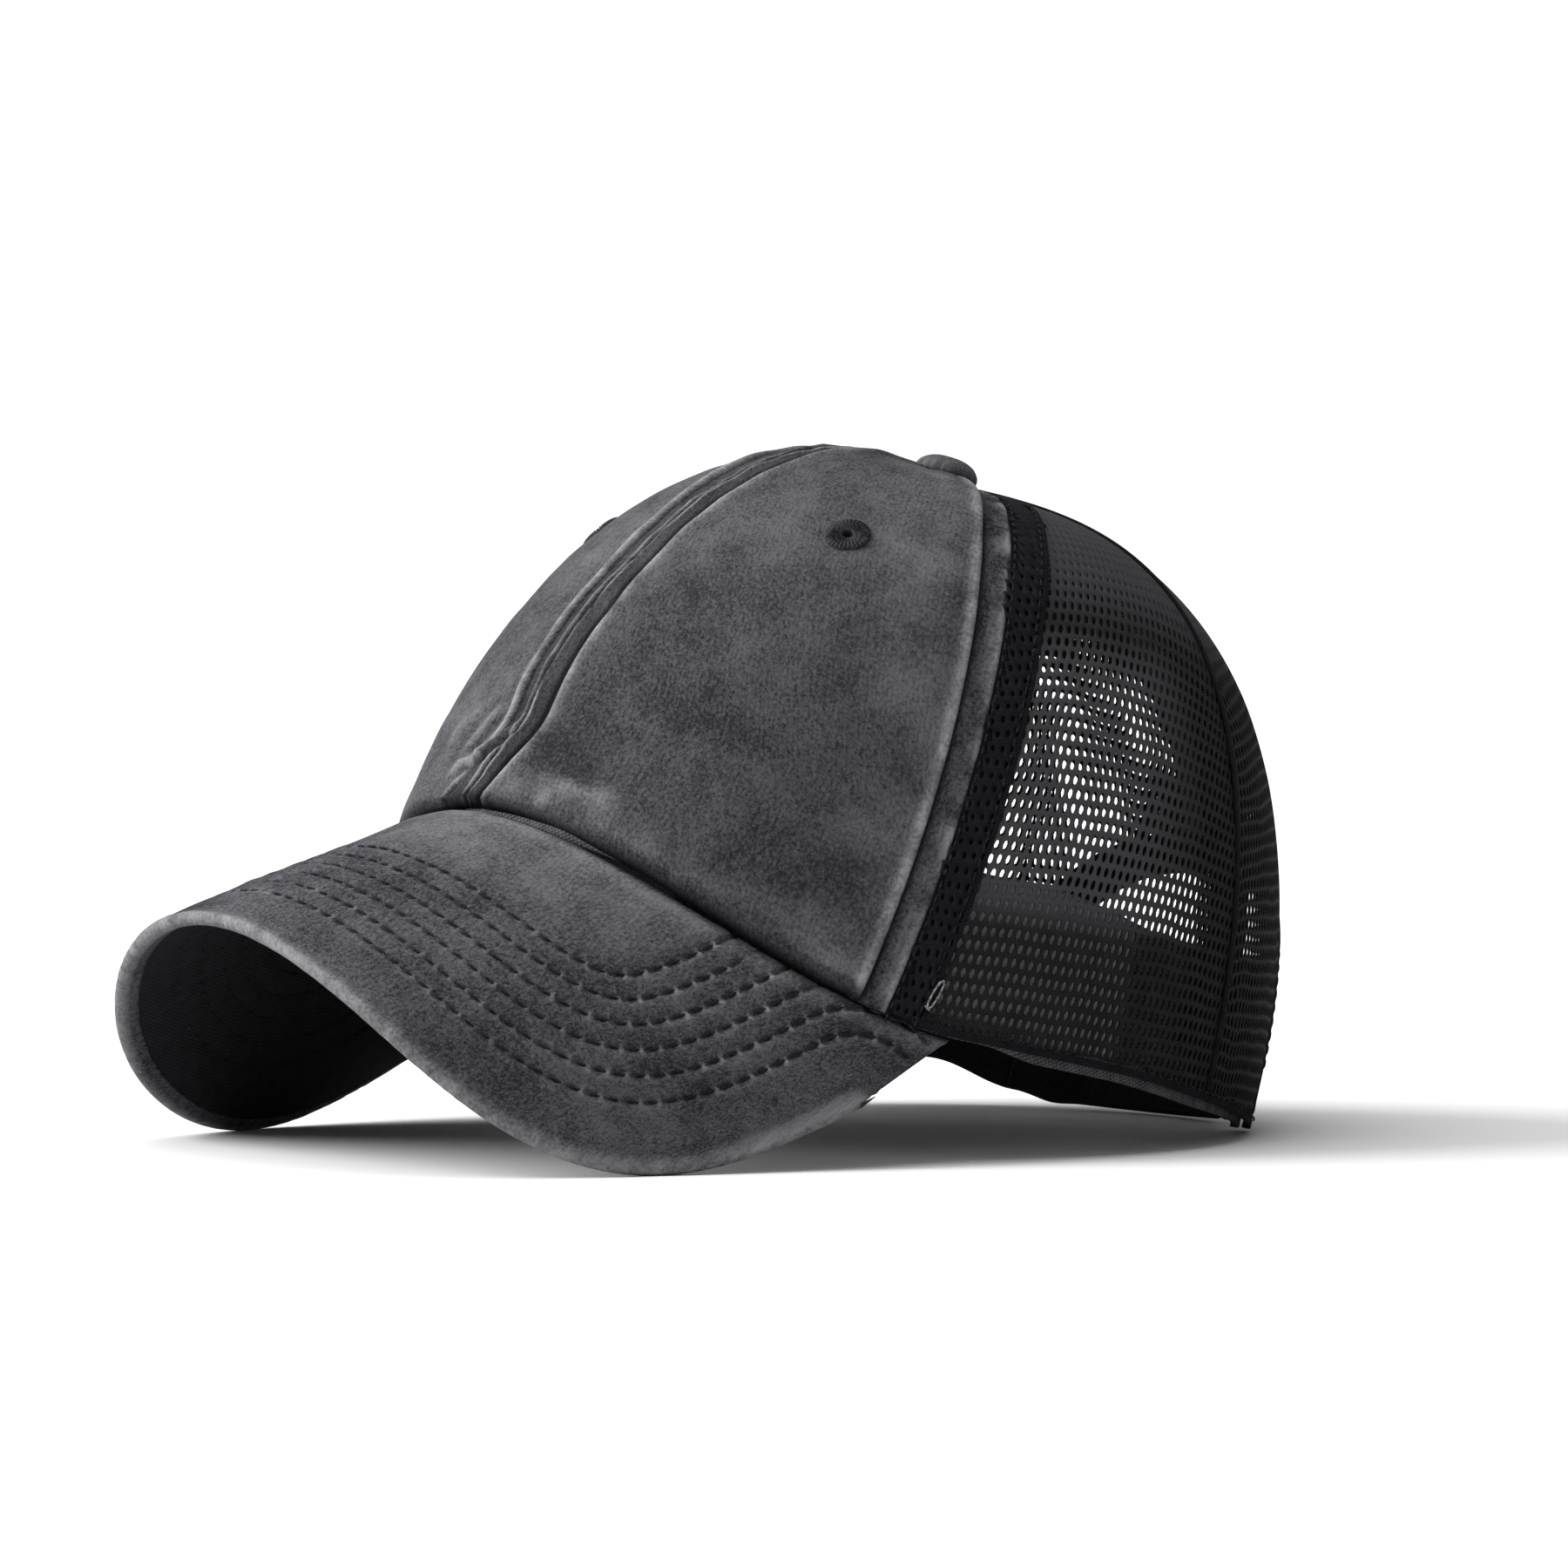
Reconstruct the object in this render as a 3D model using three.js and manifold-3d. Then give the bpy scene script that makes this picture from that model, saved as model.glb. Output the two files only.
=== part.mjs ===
// Trucker cap that rests on its back strap and the two low sides of its curved peak.
// Two washed cotton front panels, mesh sides and back, a sweatband and a fastened back strap.
// Front is -Y, the wearer's left is +X, up is +Z. Lengths are millimetres, angles are degrees.

import * as THREE from 'three';
import { mergeVertices } from 'three/addons/utils/BufferGeometryUtils.js';
import Module from 'manifold-3d';

const wasm = await Module();
wasm.setup();

// Crown
const RIM_HALF_WIDTH = 90.5;
const RIM_HALF_LENGTH = 95;
const CROWN_HEIGHT = 119.6;
const TOP_SET_BACK = 14.5;
const REST_TILT = 9.63;
const TOP_HOLE_RADIUS = 2.6;
const LEVEL_EASE = 2.6;

// Shape of the crown in five directions round the head, from the front at 0 to the back at 180.
// rise and shoulder are the exponents of the side profile, bulge is its swell at mid height as a
// share of the radius, and crest is its swell near the top in millimetres.
const CROWN_PROFILE = [
  { azimuth: 0, rise: 1.354, shoulder: 3.004, bulge: 0.13, crest: 6.34 },
  { azimuth: 45, rise: 1.975, shoulder: 3.733, bulge: 0.019, crest: 0.87 },
  { azimuth: 90, rise: 2.078, shoulder: 3.433, bulge: -0.013, crest: -2.42 },
  { azimuth: 135, rise: 2.069, shoulder: 2.562, bulge: -0.002, crest: -2.68 },
  { azimuth: 180, rise: 1.867, shoulder: 2.467, bulge: 0.017, crest: -2.97 },
];

// Soft dents of the cotton front: place, radius and depth of each.
const DENTS = [
  { azimuth: -9, level: 0.375, radius: 13, depth: 2.2 },
  { azimuth: 9, level: 0.33, radius: 11, depth: 1.4 },
  { azimuth: 24, level: 0.38, radius: 14, depth: 1.2 },
];

// Walls and seams
const COTTON_WALL = 1.6;
const MESH_WALL = 1.0;
const TAPE_WALL = 0.8;
const BAND_WALL = 1.5;
const STRAP_WALL = 1.4;
const PIECE_GAP = 0.3;
const STRIP_WIDTH = 6.1;
const MESH_BAND_WIDTH = 7.5;
const STRIP_RECESS = 0.6;
const TAPE_WIDTH = 16;
const TAPE_FOOT = 0.005;
const BACK_TAPE_WIDTH = 11;
const SEAM_TAPER_RADIUS = 30;
const SIDE_SEAM = { foot: 60.4, middle: 65.5, top: 65.2 };
const BACK_SIDE_SEAM = 118.2;

// Sideways sway of the centre seam, in degrees, where the cotton buckles over the peak.
const SEAM_SWAY = [
  { level: 0.3, reach: 0.06, sway: -1.9 },
  { level: 0.44, reach: 0.06, sway: 2.4 },
];

// Peak
const PEAK_PITCH = 27.23;
const PEAK_HALF_WIDTH = 74.03;
const PEAK_ARCH = 85.75;
const PEAK_LENGTH = 67.35;
const PEAK_END_AZIMUTH = 77.6;
const PEAK_FRONT_RISE = 36.6;
const PEAK_END_RISE = 1.22;
const PEAK_JOIN_POWER = 1.76;
const PEAK_SIDE_POWER = 0.734;
const PEAK_FRONT_POWER = 0.443;
const PEAK_CORNER_TRIM = -0.05;
const PEAK_TOP_THICKNESS = 2.0;
const PEAK_UNDER_THICKNESS = 0.9;
const PEAK_UNDER_INSET = 0.02;
const PEAK_COLUMN_EASE = 1.15;
const PEAK_END_ROUND = 3;
const PEAK_END_TURN = 1.55;
const PEAK_UNDER_TUCK = 0.5;

// Hem, sweatband, back opening and strap
const HEM_END_AZIMUTH = 150;
const HEM_DROP = { left: 4.6, right: -2.2 };
const HEM_POWER = 0.8;
const BAND_DEPTH = 2.5;
const BAND_FOOT = {
  front: 8, frontSide: 30, behind: 88, hangFront: 2.6, hangBack: 1.9, clear: 0.6,
};
const BAND_TOP = { front: 36.4, back: 28, from: 80, to: 113 };
const OPENING_HALF_WIDTH = 43;
const OPENING_HEIGHT = 48;
const OPENING_POWER = 2.6;
const BINDING_WIDTH = 8.5;
const STRAP_TOP = 16;
const STRAP_FOOT = -4;
const STRAP_OVERLAP = 26;
const STRAP_OUTER_DEPTH = 0.8;

// Button and eyelets
const BUTTON_RADIUS = 6.8;
const BUTTON_HEIGHT = 4.2;
const BUTTON_FORWARD = 1.2;
const BUTTON_FOOT = 0.8;
const BUTTON_RISE = 0.2;
const BUTTON_LIP = 0.5;
const BUTTON_DOME = 3.8;
const BUTTON_SHANK_RADIUS = 1.6;
const BUTTON_RIVET_RADIUS = 4.2;
const BUTTON_LEAN = 10.2;
const EYELET = { azimuth: 41.5, radius: 4.7, bore: 1.0, collar: 2.3, proud: 0.6 };
const EYELET_LEVEL = { left: 0.846, right: 0.824 };

// Grid steps of the faceted walls, along and up each piece
const PANEL_ROWS = 14;
const FRONT_COLUMNS = 14;
const SIDE_COLUMNS = 9;
const BACK_COLUMNS = 11;
const NARROW_COLUMNS = 2;
const TAPE_ROWS = 12;
const ARCH_COLUMNS = 30;
const BAND_COLUMNS = 64;
const STRAP_COLUMNS = 16;
const CUTTER_STEPS = 28;
const PEAK_GRID = { columns: 40, rows: 8 };
const UNDERSIDE_GRID = { columns: 36, rows: 6 };
const BUTTON_SIDES = 20;
const EYELET_SIDES = 16;

const radians = THREE.MathUtils.degToRad;
const degrees = THREE.MathUtils.radToDeg;
const clamp = THREE.MathUtils.clamp;
const mix = THREE.MathUtils.lerp;

// Smooth value of one profile column in any direction: a cosine series through the five rows.
function profileAt(azimuth, column) {
  const last = CROWN_PROFILE.length - 1;
  let value = 0;
  for (let wave = 0; wave <= last; wave += 1) {
    let weight = 0;
    CROWN_PROFILE.forEach((row, index) => {
      const share = index === 0 || index === last ? 0.5 : 1;
      weight += share * row[column] * Math.cos((Math.PI * wave * index) / last);
    });
    const half = wave === 0 || wave === last ? 1 : 2;
    value += (half / last) * weight * Math.cos(radians(wave * azimuth));
  }
  return value;
}

// Share of the rim radius that is left at a level, where 0 is the rim and 1 the top.
function radiusShare(azimuth, level) {
  const rise = profileAt(azimuth, 'rise');
  const shoulder = profileAt(azimuth, 'shoulder');
  const swell = 1 + profileAt(azimuth, 'bulge') * 4 * level * (1 - level);
  return Math.max(1 - Math.abs(level) ** rise, 0) ** (1 / shoulder) * swell;
}

// Point of the undented crown. A level below 0 carries the rim's wall on downwards.
function smoothCrown(azimuth, level) {
  const share = level > 0 ? radiusShare(azimuth, level) : 1;
  const crest = profileAt(azimuth, 'crest') * 4 * share * (1 - Math.min(share, 1)) * level;
  const turn = radians(azimuth);
  return new THREE.Vector3(
    RIM_HALF_WIDTH * Math.sin(turn) * share,
    TOP_SET_BACK * level - RIM_HALF_LENGTH * Math.cos(turn) * share,
    CROWN_HEIGHT * level + crest,
  );
}

// Outward direction of the crown at a point.
function crownNormal(azimuth, level) {
  const step = Math.min(0.004, (1 - level) / 2);
  const along = smoothCrown(azimuth + 0.5, level).sub(smoothCrown(azimuth - 0.5, level));
  const up = smoothCrown(azimuth, level + step).sub(smoothCrown(azimuth, level - step));
  return along.cross(up).normalize();
}

const dentCentres = DENTS.map((dent) => smoothCrown(dent.azimuth, dent.level));

// How far the dents push the crown in at a point.
function dentDepth(point) {
  let depth = 0;
  DENTS.forEach((dent, index) => {
    const reach = point.distanceTo(dentCentres[index]) / dent.radius;
    depth += dent.depth * Math.exp(-reach * reach);
  });
  return depth;
}

// Point of the crown's cloth, a given depth in from its outer skin.
function skin(azimuth, level, depth = 0) {
  const point = smoothCrown(azimuth, level);
  const inward = depth + dentDepth(point);
  return point.addScaledVector(crownNormal(azimuth, level), -inward);
}

// Turn in degrees that a width along the cloth takes at a level. Near the top it stops growing.
function turnOf(width, azimuth, level) {
  const turn = radians(azimuth);
  const rim = Math.hypot(RIM_HALF_WIDTH * Math.sin(turn), RIM_HALF_LENGTH * Math.cos(turn));
  const radius = rim * (level > 0 ? radiusShare(azimuth, level) : 1);
  return degrees(width / Math.max(radius, SEAM_TAPER_RADIUS));
}

// Azimuth of the seam between the two front panels.
function centreSeam(level) {
  let azimuth = 0;
  for (const { level: place, reach, sway } of SEAM_SWAY) {
    azimuth += sway * Math.exp(-(((level - place) / reach) ** 2));
  }
  return azimuth;
}

// Azimuth of the front panels' rear edge: a parabola through its foot, middle and top.
function sideSeam(level) {
  const { foot, middle, top } = SIDE_SEAM;
  const curve = 2 * (foot + top - 2 * middle);
  const slope = top - foot - curve;
  return foot + slope * level + curve * level * level;
}

// Azimuth of a line that runs a given width behind the front panel's rear edge.
function behindSideSeam(width, level) {
  const seam = sideSeam(level);
  return seam + turnOf(width, seam, level);
}

// Level of the line where the peak meets the crown.
function joinLevel(azimuth) {
  const turn = Math.min(Math.abs(azimuth) / PEAK_END_AZIMUTH, 1) * (Math.PI / 2);
  const rise = (PEAK_FRONT_RISE - PEAK_END_RISE) * Math.cos(turn) ** PEAK_JOIN_POWER;
  return (PEAK_END_RISE + rise) / CROWN_HEIGHT;
}

// Level of the crown's lower edge: along the peak in front, then the hem, which drops to the back.
function hemLevel(azimuth) {
  const round = Math.abs(azimuth);
  const drop = azimuth > 0 ? HEM_DROP.left : HEM_DROP.right;
  const past = clamp((round - PEAK_END_AZIMUTH) / (HEM_END_AZIMUTH - PEAK_END_AZIMUTH), 0, 1);
  return joinLevel(azimuth) - (drop * past ** HEM_POWER) / CROWN_HEIGHT;
}

// Level where the crown closes in on the small hole under the button.
function topLevel(azimuth) {
  const share = TOP_HOLE_RADIUS / RIM_HALF_WIDTH;
  return (1 - share ** profileAt(azimuth, 'shoulder')) ** (1 / profileAt(azimuth, 'rise'));
}

// Level part of the way from a lower edge to the top, with more rows near the top.
function climbLevel(azimuth, foot, climb) {
  const footClimb = 1 - (1 - foot) ** (1 / LEVEL_EASE);
  const topClimb = 1 - (1 - topLevel(azimuth)) ** (1 / LEVEL_EASE);
  return 1 - (1 - mix(footClimb, topClimb, climb)) ** LEVEL_EASE;
}

// Turns a list of points and triangles into a geometry with its faces pointing out.
function closedGeometry(points, triangles) {
  let volume = 0;
  for (const [a, b, c] of triangles) {
    volume += points[a].dot(new THREE.Vector3().crossVectors(points[b], points[c]));
  }
  const order = volume < 0 ? triangles.map(([a, b, c]) => [a, c, b]) : triangles;
  const geometry = new THREE.BufferGeometry();
  const positions = points.flatMap((point) => [point.x, point.y, point.z]);
  geometry.setAttribute('position', new THREE.Float32BufferAttribute(positions, 3));
  geometry.setIndex(order.flat());
  return geometry;
}

// Closed wall over a grid: face(along, up, side) gives its outer skin at side 0, its inner at 1.
function wall(columns, rows, face) {
  const points = [];
  const at = (column, row, side) => (side * (rows + 1) + row) * (columns + 1) + column;
  for (let side = 0; side <= 1; side += 1) {
    for (let row = 0; row <= rows; row += 1) {
      for (let column = 0; column <= columns; column += 1) {
        points.push(face(column / columns, row / rows, side));
      }
    }
  }
  const triangles = [];
  const quad = (a, b, c, d) => triangles.push([a, b, c], [a, c, d]);
  for (let row = 0; row < rows; row += 1) {
    for (let column = 0; column < columns; column += 1) {
      const right = column + 1;
      const above = row + 1;
      quad(at(column, row, 0), at(right, row, 0), at(right, above, 0), at(column, above, 0));
      quad(at(column, row, 1), at(column, above, 1), at(right, above, 1), at(right, row, 1));
    }
  }
  for (let column = 0; column < columns; column += 1) {
    const right = column + 1;
    quad(at(column, 0, 0), at(column, 0, 1), at(right, 0, 1), at(right, 0, 0));
    quad(at(column, rows, 0), at(right, rows, 0), at(right, rows, 1), at(column, rows, 1));
  }
  for (let row = 0; row < rows; row += 1) {
    const above = row + 1;
    quad(at(0, row, 0), at(0, above, 0), at(0, above, 1), at(0, row, 1));
    quad(at(columns, row, 0), at(columns, row, 1), at(columns, above, 1), at(columns, above, 0));
  }
  return closedGeometry(points, triangles);
}

function toSolid(geometry) {
  const bare = geometry.clone();
  bare.deleteAttribute('normal');
  bare.deleteAttribute('uv');
  const merged = mergeVertices(bare, 1e-4);
  const vertProperties = new Float32Array(merged.attributes.position.array);
  const triVerts = new Uint32Array(merged.index.array);
  return new wasm.Manifold(new wasm.Mesh({ numProp: 3, vertProperties, triVerts }));
}

function toGeometry(solid) {
  const mesh = solid.getMesh();
  const geometry = new THREE.BufferGeometry();
  geometry.setAttribute('position', new THREE.BufferAttribute(mesh.vertProperties, 3));
  geometry.setIndex(new THREE.BufferAttribute(mesh.triVerts, 1));
  return geometry;
}

function cutAway(geometry, cutter) {
  return toGeometry(toSolid(geometry).subtract(toSolid(cutter)));
}

// Crown panel between two seam lines, each given as an azimuth at a level.
function crownPanel(side, columns, fromLine, toLine, wallDepth, recess = 0) {
  return wall(columns, PANEL_ROWS, (along, up, inside) => {
    let azimuth = mix(fromLine(0), toLine(0), along);
    let level = 0;
    for (let pass = 0; pass < 4; pass += 1) {
      const foot = hemLevel(side * azimuth) + PIECE_GAP / CROWN_HEIGHT;
      level = climbLevel(azimuth, foot, up);
      const half = turnOf(PIECE_GAP / 2, azimuth, level);
      azimuth = mix(fromLine(level) + half, toLine(level) - half, along);
    }
    return skin(side * azimuth, level, recess + inside * wallDepth);
  });
}

// Places a shape made along +Z on the crown, pointing outwards.
function standOnCrown(geometry, azimuth, level) {
  const direction = crownNormal(azimuth, level);
  const turn = new THREE.Quaternion().setFromUnitVectors(new THREE.Vector3(0, 0, 1), direction);
  geometry.applyQuaternion(turn);
  const foot = skin(azimuth, level);
  return geometry.translate(foot.x, foot.y, foot.z);
}

// Ring or dome turned about +Z from rows of radius and height.
function turned(rows, segments) {
  const profile = rows.map(([radius, height]) => new THREE.Vector2(radius, height));
  return new THREE.LatheGeometry(profile, segments).rotateX(Math.PI / 2);
}

function eyeletLevel(side) {
  return side > 0 ? EYELET_LEVEL.left : EYELET_LEVEL.right;
}

function frontPanel(side) {
  const middle = (level) => side * centreSeam(level);
  const panel = crownPanel(side, FRONT_COLUMNS, middle, sideSeam, COTTON_WALL);
  const holeRadius = EYELET.collar + PIECE_GAP;
  const holeLength = COTTON_WALL * 5;
  const hole = new THREE.CylinderGeometry(holeRadius, holeRadius, holeLength, EYELET_SIDES);
  hole.rotateX(Math.PI / 2);
  return cutAway(panel, standOnCrown(hole, side * EYELET.azimuth, eyeletLevel(side)));
}

function sideStrip(side) {
  const rear = (level) => behindSideSeam(STRIP_WIDTH, level);
  return crownPanel(side, NARROW_COLUMNS, sideSeam, rear, COTTON_WALL - STRIP_RECESS, STRIP_RECESS);
}

function meshBand(side) {
  const front = (level) => behindSideSeam(STRIP_WIDTH, level);
  const rear = (level) => behindSideSeam(STRIP_WIDTH + MESH_BAND_WIDTH, level);
  return crownPanel(side, NARROW_COLUMNS, front, rear, MESH_WALL);
}

function sideMesh(side) {
  const front = (level) => behindSideSeam(STRIP_WIDTH + MESH_BAND_WIDTH, level);
  return crownPanel(side, SIDE_COLUMNS, front, () => BACK_SIDE_SEAM, MESH_WALL);
}

// Height of the back opening's edge, or of a line a given width outside it, at a share of its arch.
function archPoint(share, outside) {
  const turn = Math.PI * share;
  const power = 2 / OPENING_POWER;
  const across = Math.sign(Math.cos(turn)) * Math.abs(Math.cos(turn)) ** power;
  return {
    x: (OPENING_HALF_WIDTH + outside) * across,
    z: (OPENING_HEIGHT + outside) * Math.sin(turn) ** power,
  };
}

// Turns a sideways distance at the back into the azimuth where the crown has it.
function backAzimuth(x, level) {
  let azimuth = 180;
  for (let pass = 0; pass < 6; pass += 1) {
    const share = level > 0 ? radiusShare(azimuth, level) : 1;
    azimuth = 180 - degrees(Math.asin(clamp(Math.abs(x) / (RIM_HALF_WIDTH * share), 0, 1)));
  }
  return Math.sign(x || 1) * azimuth;
}

// Slab that cuts the arched opening out of the back panels.
function archCutter() {
  const outside = BINDING_WIDTH + PIECE_GAP;
  const outline = [new THREE.Vector2(OPENING_HALF_WIDTH + outside, -CROWN_HEIGHT / 4)];
  for (let step = 0; step <= CUTTER_STEPS; step += 1) {
    const { x, z } = archPoint(step / CUTTER_STEPS, outside);
    outline.push(new THREE.Vector2(x, z));
  }
  outline.push(new THREE.Vector2(-OPENING_HALF_WIDTH - outside, -CROWN_HEIGHT / 4));
  const slab = new THREE.ExtrudeGeometry(new THREE.Shape(outline), {
    depth: RIM_HALF_LENGTH,
    bevelEnabled: false,
  });
  return slab.rotateX(Math.PI / 2).translate(0, RIM_HALF_LENGTH * 1.3, 0);
}

function backMesh(side) {
  const panel = crownPanel(side, BACK_COLUMNS, () => BACK_SIDE_SEAM, () => 180, MESH_WALL);
  return cutAway(panel, archCutter());
}

// Tape inside a mesh seam, centred on it.
function seamTape(side, azimuth, width, foot) {
  return wall(NARROW_COLUMNS, TAPE_ROWS, (along, up, inside) => {
    const level = climbLevel(azimuth, foot, up);
    const place = azimuth + (along - 0.5) * turnOf(width, azimuth, level);
    return skin(side * place, level, MESH_WALL + PIECE_GAP + inside * TAPE_WALL);
  });
}

// Binding round the back opening, from hem to hem over the arch.
function openingBinding() {
  const leg = 0.1;
  return wall(ARCH_COLUMNS, NARROW_COLUMNS, (along, across, inside) => {
    const outside = BINDING_WIDTH * across;
    const share = clamp((along - leg) / (1 - 2 * leg), 0, 1);
    const point = archPoint(share, outside);
    const past = Math.max(leg - along, along - 1 + leg, 0) / leg;
    const side = along < 0.5 ? 1 : -1;
    const foot = hemLevel(side * HEM_END_AZIMUTH) * CROWN_HEIGHT + PIECE_GAP;
    const level = mix(point.z, foot, past) / CROWN_HEIGHT;
    return skin(backAzimuth(point.x, level), level, inside * COTTON_WALL);
  });
}

// Height of the sweatband's top edge above the crown's lower edge in front, above the rim behind.
function bandTop(azimuth) {
  const round = Math.abs(azimuth);
  const fall = THREE.MathUtils.smoothstep(round, BAND_TOP.from, BAND_TOP.to);
  const height = mix(BAND_TOP.front, BAND_TOP.back, fall);
  return joinLevel(azimuth) + (height - PEAK_END_RISE) / CROWN_HEIGHT;
}

// Level of the sweatband's lower edge: it hangs behind the peak in front and below the hem behind,
// and stops above the peak's root at the sides, where the peak stands along the crown.
function bandFoot(azimuth) {
  const round = Math.abs(azimuth);
  const front = 1 - THREE.MathUtils.smoothstep(round, BAND_FOOT.front, BAND_FOOT.frontSide);
  const back = THREE.MathUtils.smoothstep(round, PEAK_END_AZIMUTH + 1, BAND_FOOT.behind);
  const hang = BAND_FOOT.hangFront * front + BAND_FOOT.hangBack * back - BAND_FOOT.clear;
  return hemLevel(azimuth) - hang / CROWN_HEIGHT;
}

function sweatband() {
  const end = backAzimuth(OPENING_HALF_WIDTH, 0);
  return wall(BAND_COLUMNS, NARROW_COLUMNS, (along, up, inside) => {
    const azimuth = mix(-end, end, along);
    const level = mix(bandFoot(azimuth), bandTop(azimuth), up);
    return skin(azimuth, level, BAND_DEPTH + inside * BAND_WALL);
  });
}

// Back strap half: it starts where the sweatband ends and overlaps the other half behind the head.
function strap(side) {
  const end = OPENING_HALF_WIDTH - PIECE_GAP;
  const endDepth = BAND_DEPTH;
  const overlapDepth = side > 0 ? BAND_DEPTH : STRAP_OUTER_DEPTH - PIECE_GAP;
  return wall(STRAP_COLUMNS, NARROW_COLUMNS, (along, up, inside) => {
    const x = side * mix(end, -STRAP_OVERLAP, along);
    const level = mix(STRAP_FOOT, STRAP_TOP, up) / CROWN_HEIGHT;
    const slide = THREE.MathUtils.smoothstep(along, 0.06, 0.26);
    const depth = mix(endDepth, overlapDepth, slide);
    return skin(backAzimuth(x, level), level, depth + inside * STRAP_WALL);
  });
}

// Point of the curved sheet that the peak is bent from: turn is its place round the arch and
// reach its distance forward from the crown's front.
function sheetPoint(turn, reach) {
  const pitch = radians(PEAK_PITCH);
  const fall = PEAK_ARCH * (1 - Math.cos(turn));
  return new THREE.Vector3(
    PEAK_HALF_WIDTH * Math.sin(turn),
    -RIM_HALF_LENGTH - reach * Math.cos(pitch) + fall * Math.sin(pitch),
    PEAK_FRONT_RISE - reach * Math.sin(pitch) - fall * Math.cos(pitch),
  );
}

// Outer edge of the peak: round is 0 at the end on the crown and 90 at the middle of the front.
function peakEdge(round, side) {
  const pitch = radians(PEAK_PITCH);
  const endRim = smoothCrown(PEAK_END_AZIMUTH, 0);
  const endFall = PEAK_ARCH * (1 - Math.cos(PEAK_END_TURN));
  const endReach = (-RIM_HALF_LENGTH + endFall * Math.sin(pitch) - endRim.y) / Math.cos(pitch);
  const angle = radians(round);
  const narrow = Math.cos(angle) ** PEAK_SIDE_POWER;
  const trim = 1 + PEAK_CORNER_TRIM * Math.sin(2 * angle) ** 2;
  const reach = mix(endReach, PEAK_LENGTH, Math.sin(angle) ** PEAK_FRONT_POWER);
  const point = sheetPoint(PEAK_END_TURN * narrow * trim, reach);
  const tip = skin(PEAK_END_AZIMUTH, joinLevel(PEAK_END_AZIMUTH));
  const pull = tip.sub(sheetPoint(PEAK_END_TURN, endReach));
  point.addScaledVector(pull, (1 - Math.sin(angle)) ** 2);
  point.x *= side;
  return point;
}

// Where the ruling that ends at an edge point starts on the crown.
function peakRoot(edge) {
  const widest = peakEdge(0, 1).x;
  const turn = Math.asin(clamp(edge.x / widest, -1, 1) * Math.sin(radians(PEAK_END_AZIMUTH)));
  const azimuth = degrees(turn);
  return skin(azimuth, joinLevel(azimuth));
}

// Point of the peak's top skin: across runs from one end to the other, out from root to edge.
function peakSkin(across, out) {
  const side = across < 0.5 ? -1 : 1;
  const share = (1 - Math.abs(2 * across - 1)) ** PEAK_COLUMN_EASE;
  const edge = peakEdge(mix(PEAK_END_ROUND, 90, share), side);
  return peakRoot(edge).lerp(edge, out);
}

// Upward direction of the peak's top skin.
function peakNormal(across, out) {
  const step = 0.01;
  const inner = clamp(across, 2 * step, 1 - 2 * step);
  const along = peakSkin(inner + step, out).sub(peakSkin(inner - step, out));
  const outward = peakSkin(inner, 1).sub(peakSkin(inner, 0));
  return outward.cross(along).normalize();
}

// Layer of the peak between two depths below its top skin, set in from its edge and its root.
function peakLayer(grid, top, thickness, edgeInset, rootInset) {
  return wall(grid.columns, grid.rows, (along, up, under) => {
    const across = mix(edgeInset, 1 - edgeInset, along);
    const length = peakSkin(across, 1).distanceTo(peakSkin(across, 0));
    const first = rootInset / Math.max(length, 4 * rootInset);
    const last = 1 - edgeInset * PEAK_LENGTH / Math.max(length, PEAK_LENGTH / 4);
    const out = mix(first, last, up);
    const depth = top + under * thickness;
    return peakSkin(across, out).addScaledVector(peakNormal(across, out), -depth);
  });
}

function topButton() {
  const rows = [
    [0, -BUTTON_HEIGHT],
    [BUTTON_RIVET_RADIUS, -BUTTON_HEIGHT],
    [BUTTON_RIVET_RADIUS, -BUTTON_HEIGHT + BUTTON_FOOT],
    [BUTTON_SHANK_RADIUS, -BUTTON_HEIGHT + BUTTON_FOOT],
    [BUTTON_SHANK_RADIUS, BUTTON_FOOT],
    [BUTTON_RADIUS * 0.93, BUTTON_FOOT],
  ];
  const domeSteps = 6;
  for (let step = 0; step <= domeSteps; step += 1) {
    const angle = radians(90 * (step / domeSteps));
    const radius = step === domeSteps ? 0 : BUTTON_RADIUS * Math.cos(angle) ** 0.8;
    rows.push([radius, BUTTON_FOOT + BUTTON_LIP + BUTTON_DOME * Math.sin(angle)]);
  }
  const button = turned(rows, BUTTON_SIDES);
  button.rotateX(-radians(BUTTON_LEAN));
  return button.translate(0, TOP_SET_BACK - BUTTON_FORWARD, CROWN_HEIGHT + BUTTON_RISE);
}

function eyelet(side) {
  const { radius, bore, collar, proud } = EYELET;
  const rows = [
    [bore, -COTTON_WALL],
    [collar, -COTTON_WALL],
    [collar, PIECE_GAP],
    [radius, PIECE_GAP],
    [radius * 0.92, PIECE_GAP + proud * 0.7],
    [radius * 0.62, PIECE_GAP + proud],
    [bore * 1.5, PIECE_GAP + proud * 0.7],
    [bore, PIECE_GAP],
    [bore, -COTTON_WALL],
  ];
  return standOnCrown(turned(rows, EYELET_SIDES), side * EYELET.azimuth, eyeletLevel(side));
}

// Colours of the washed cotton, the black cloths and the mesh.
const FINISHES = {
  cotton: { color: 0x5b5a60, roughness: 0.95, metalness: 0 },
  strip: { color: 0x4a494f, roughness: 0.95, metalness: 0 },
  mesh: { color: 0x17171b, roughness: 0.7, metalness: 0 },
  tape: { color: 0x141417, roughness: 0.9, metalness: 0 },
  black_cloth: { color: 0x121214, roughness: 0.95, metalness: 0 },
  thread: { color: 0x1b1b20, roughness: 0.9, metalness: 0 },
};

const cap = new THREE.Group();

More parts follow.
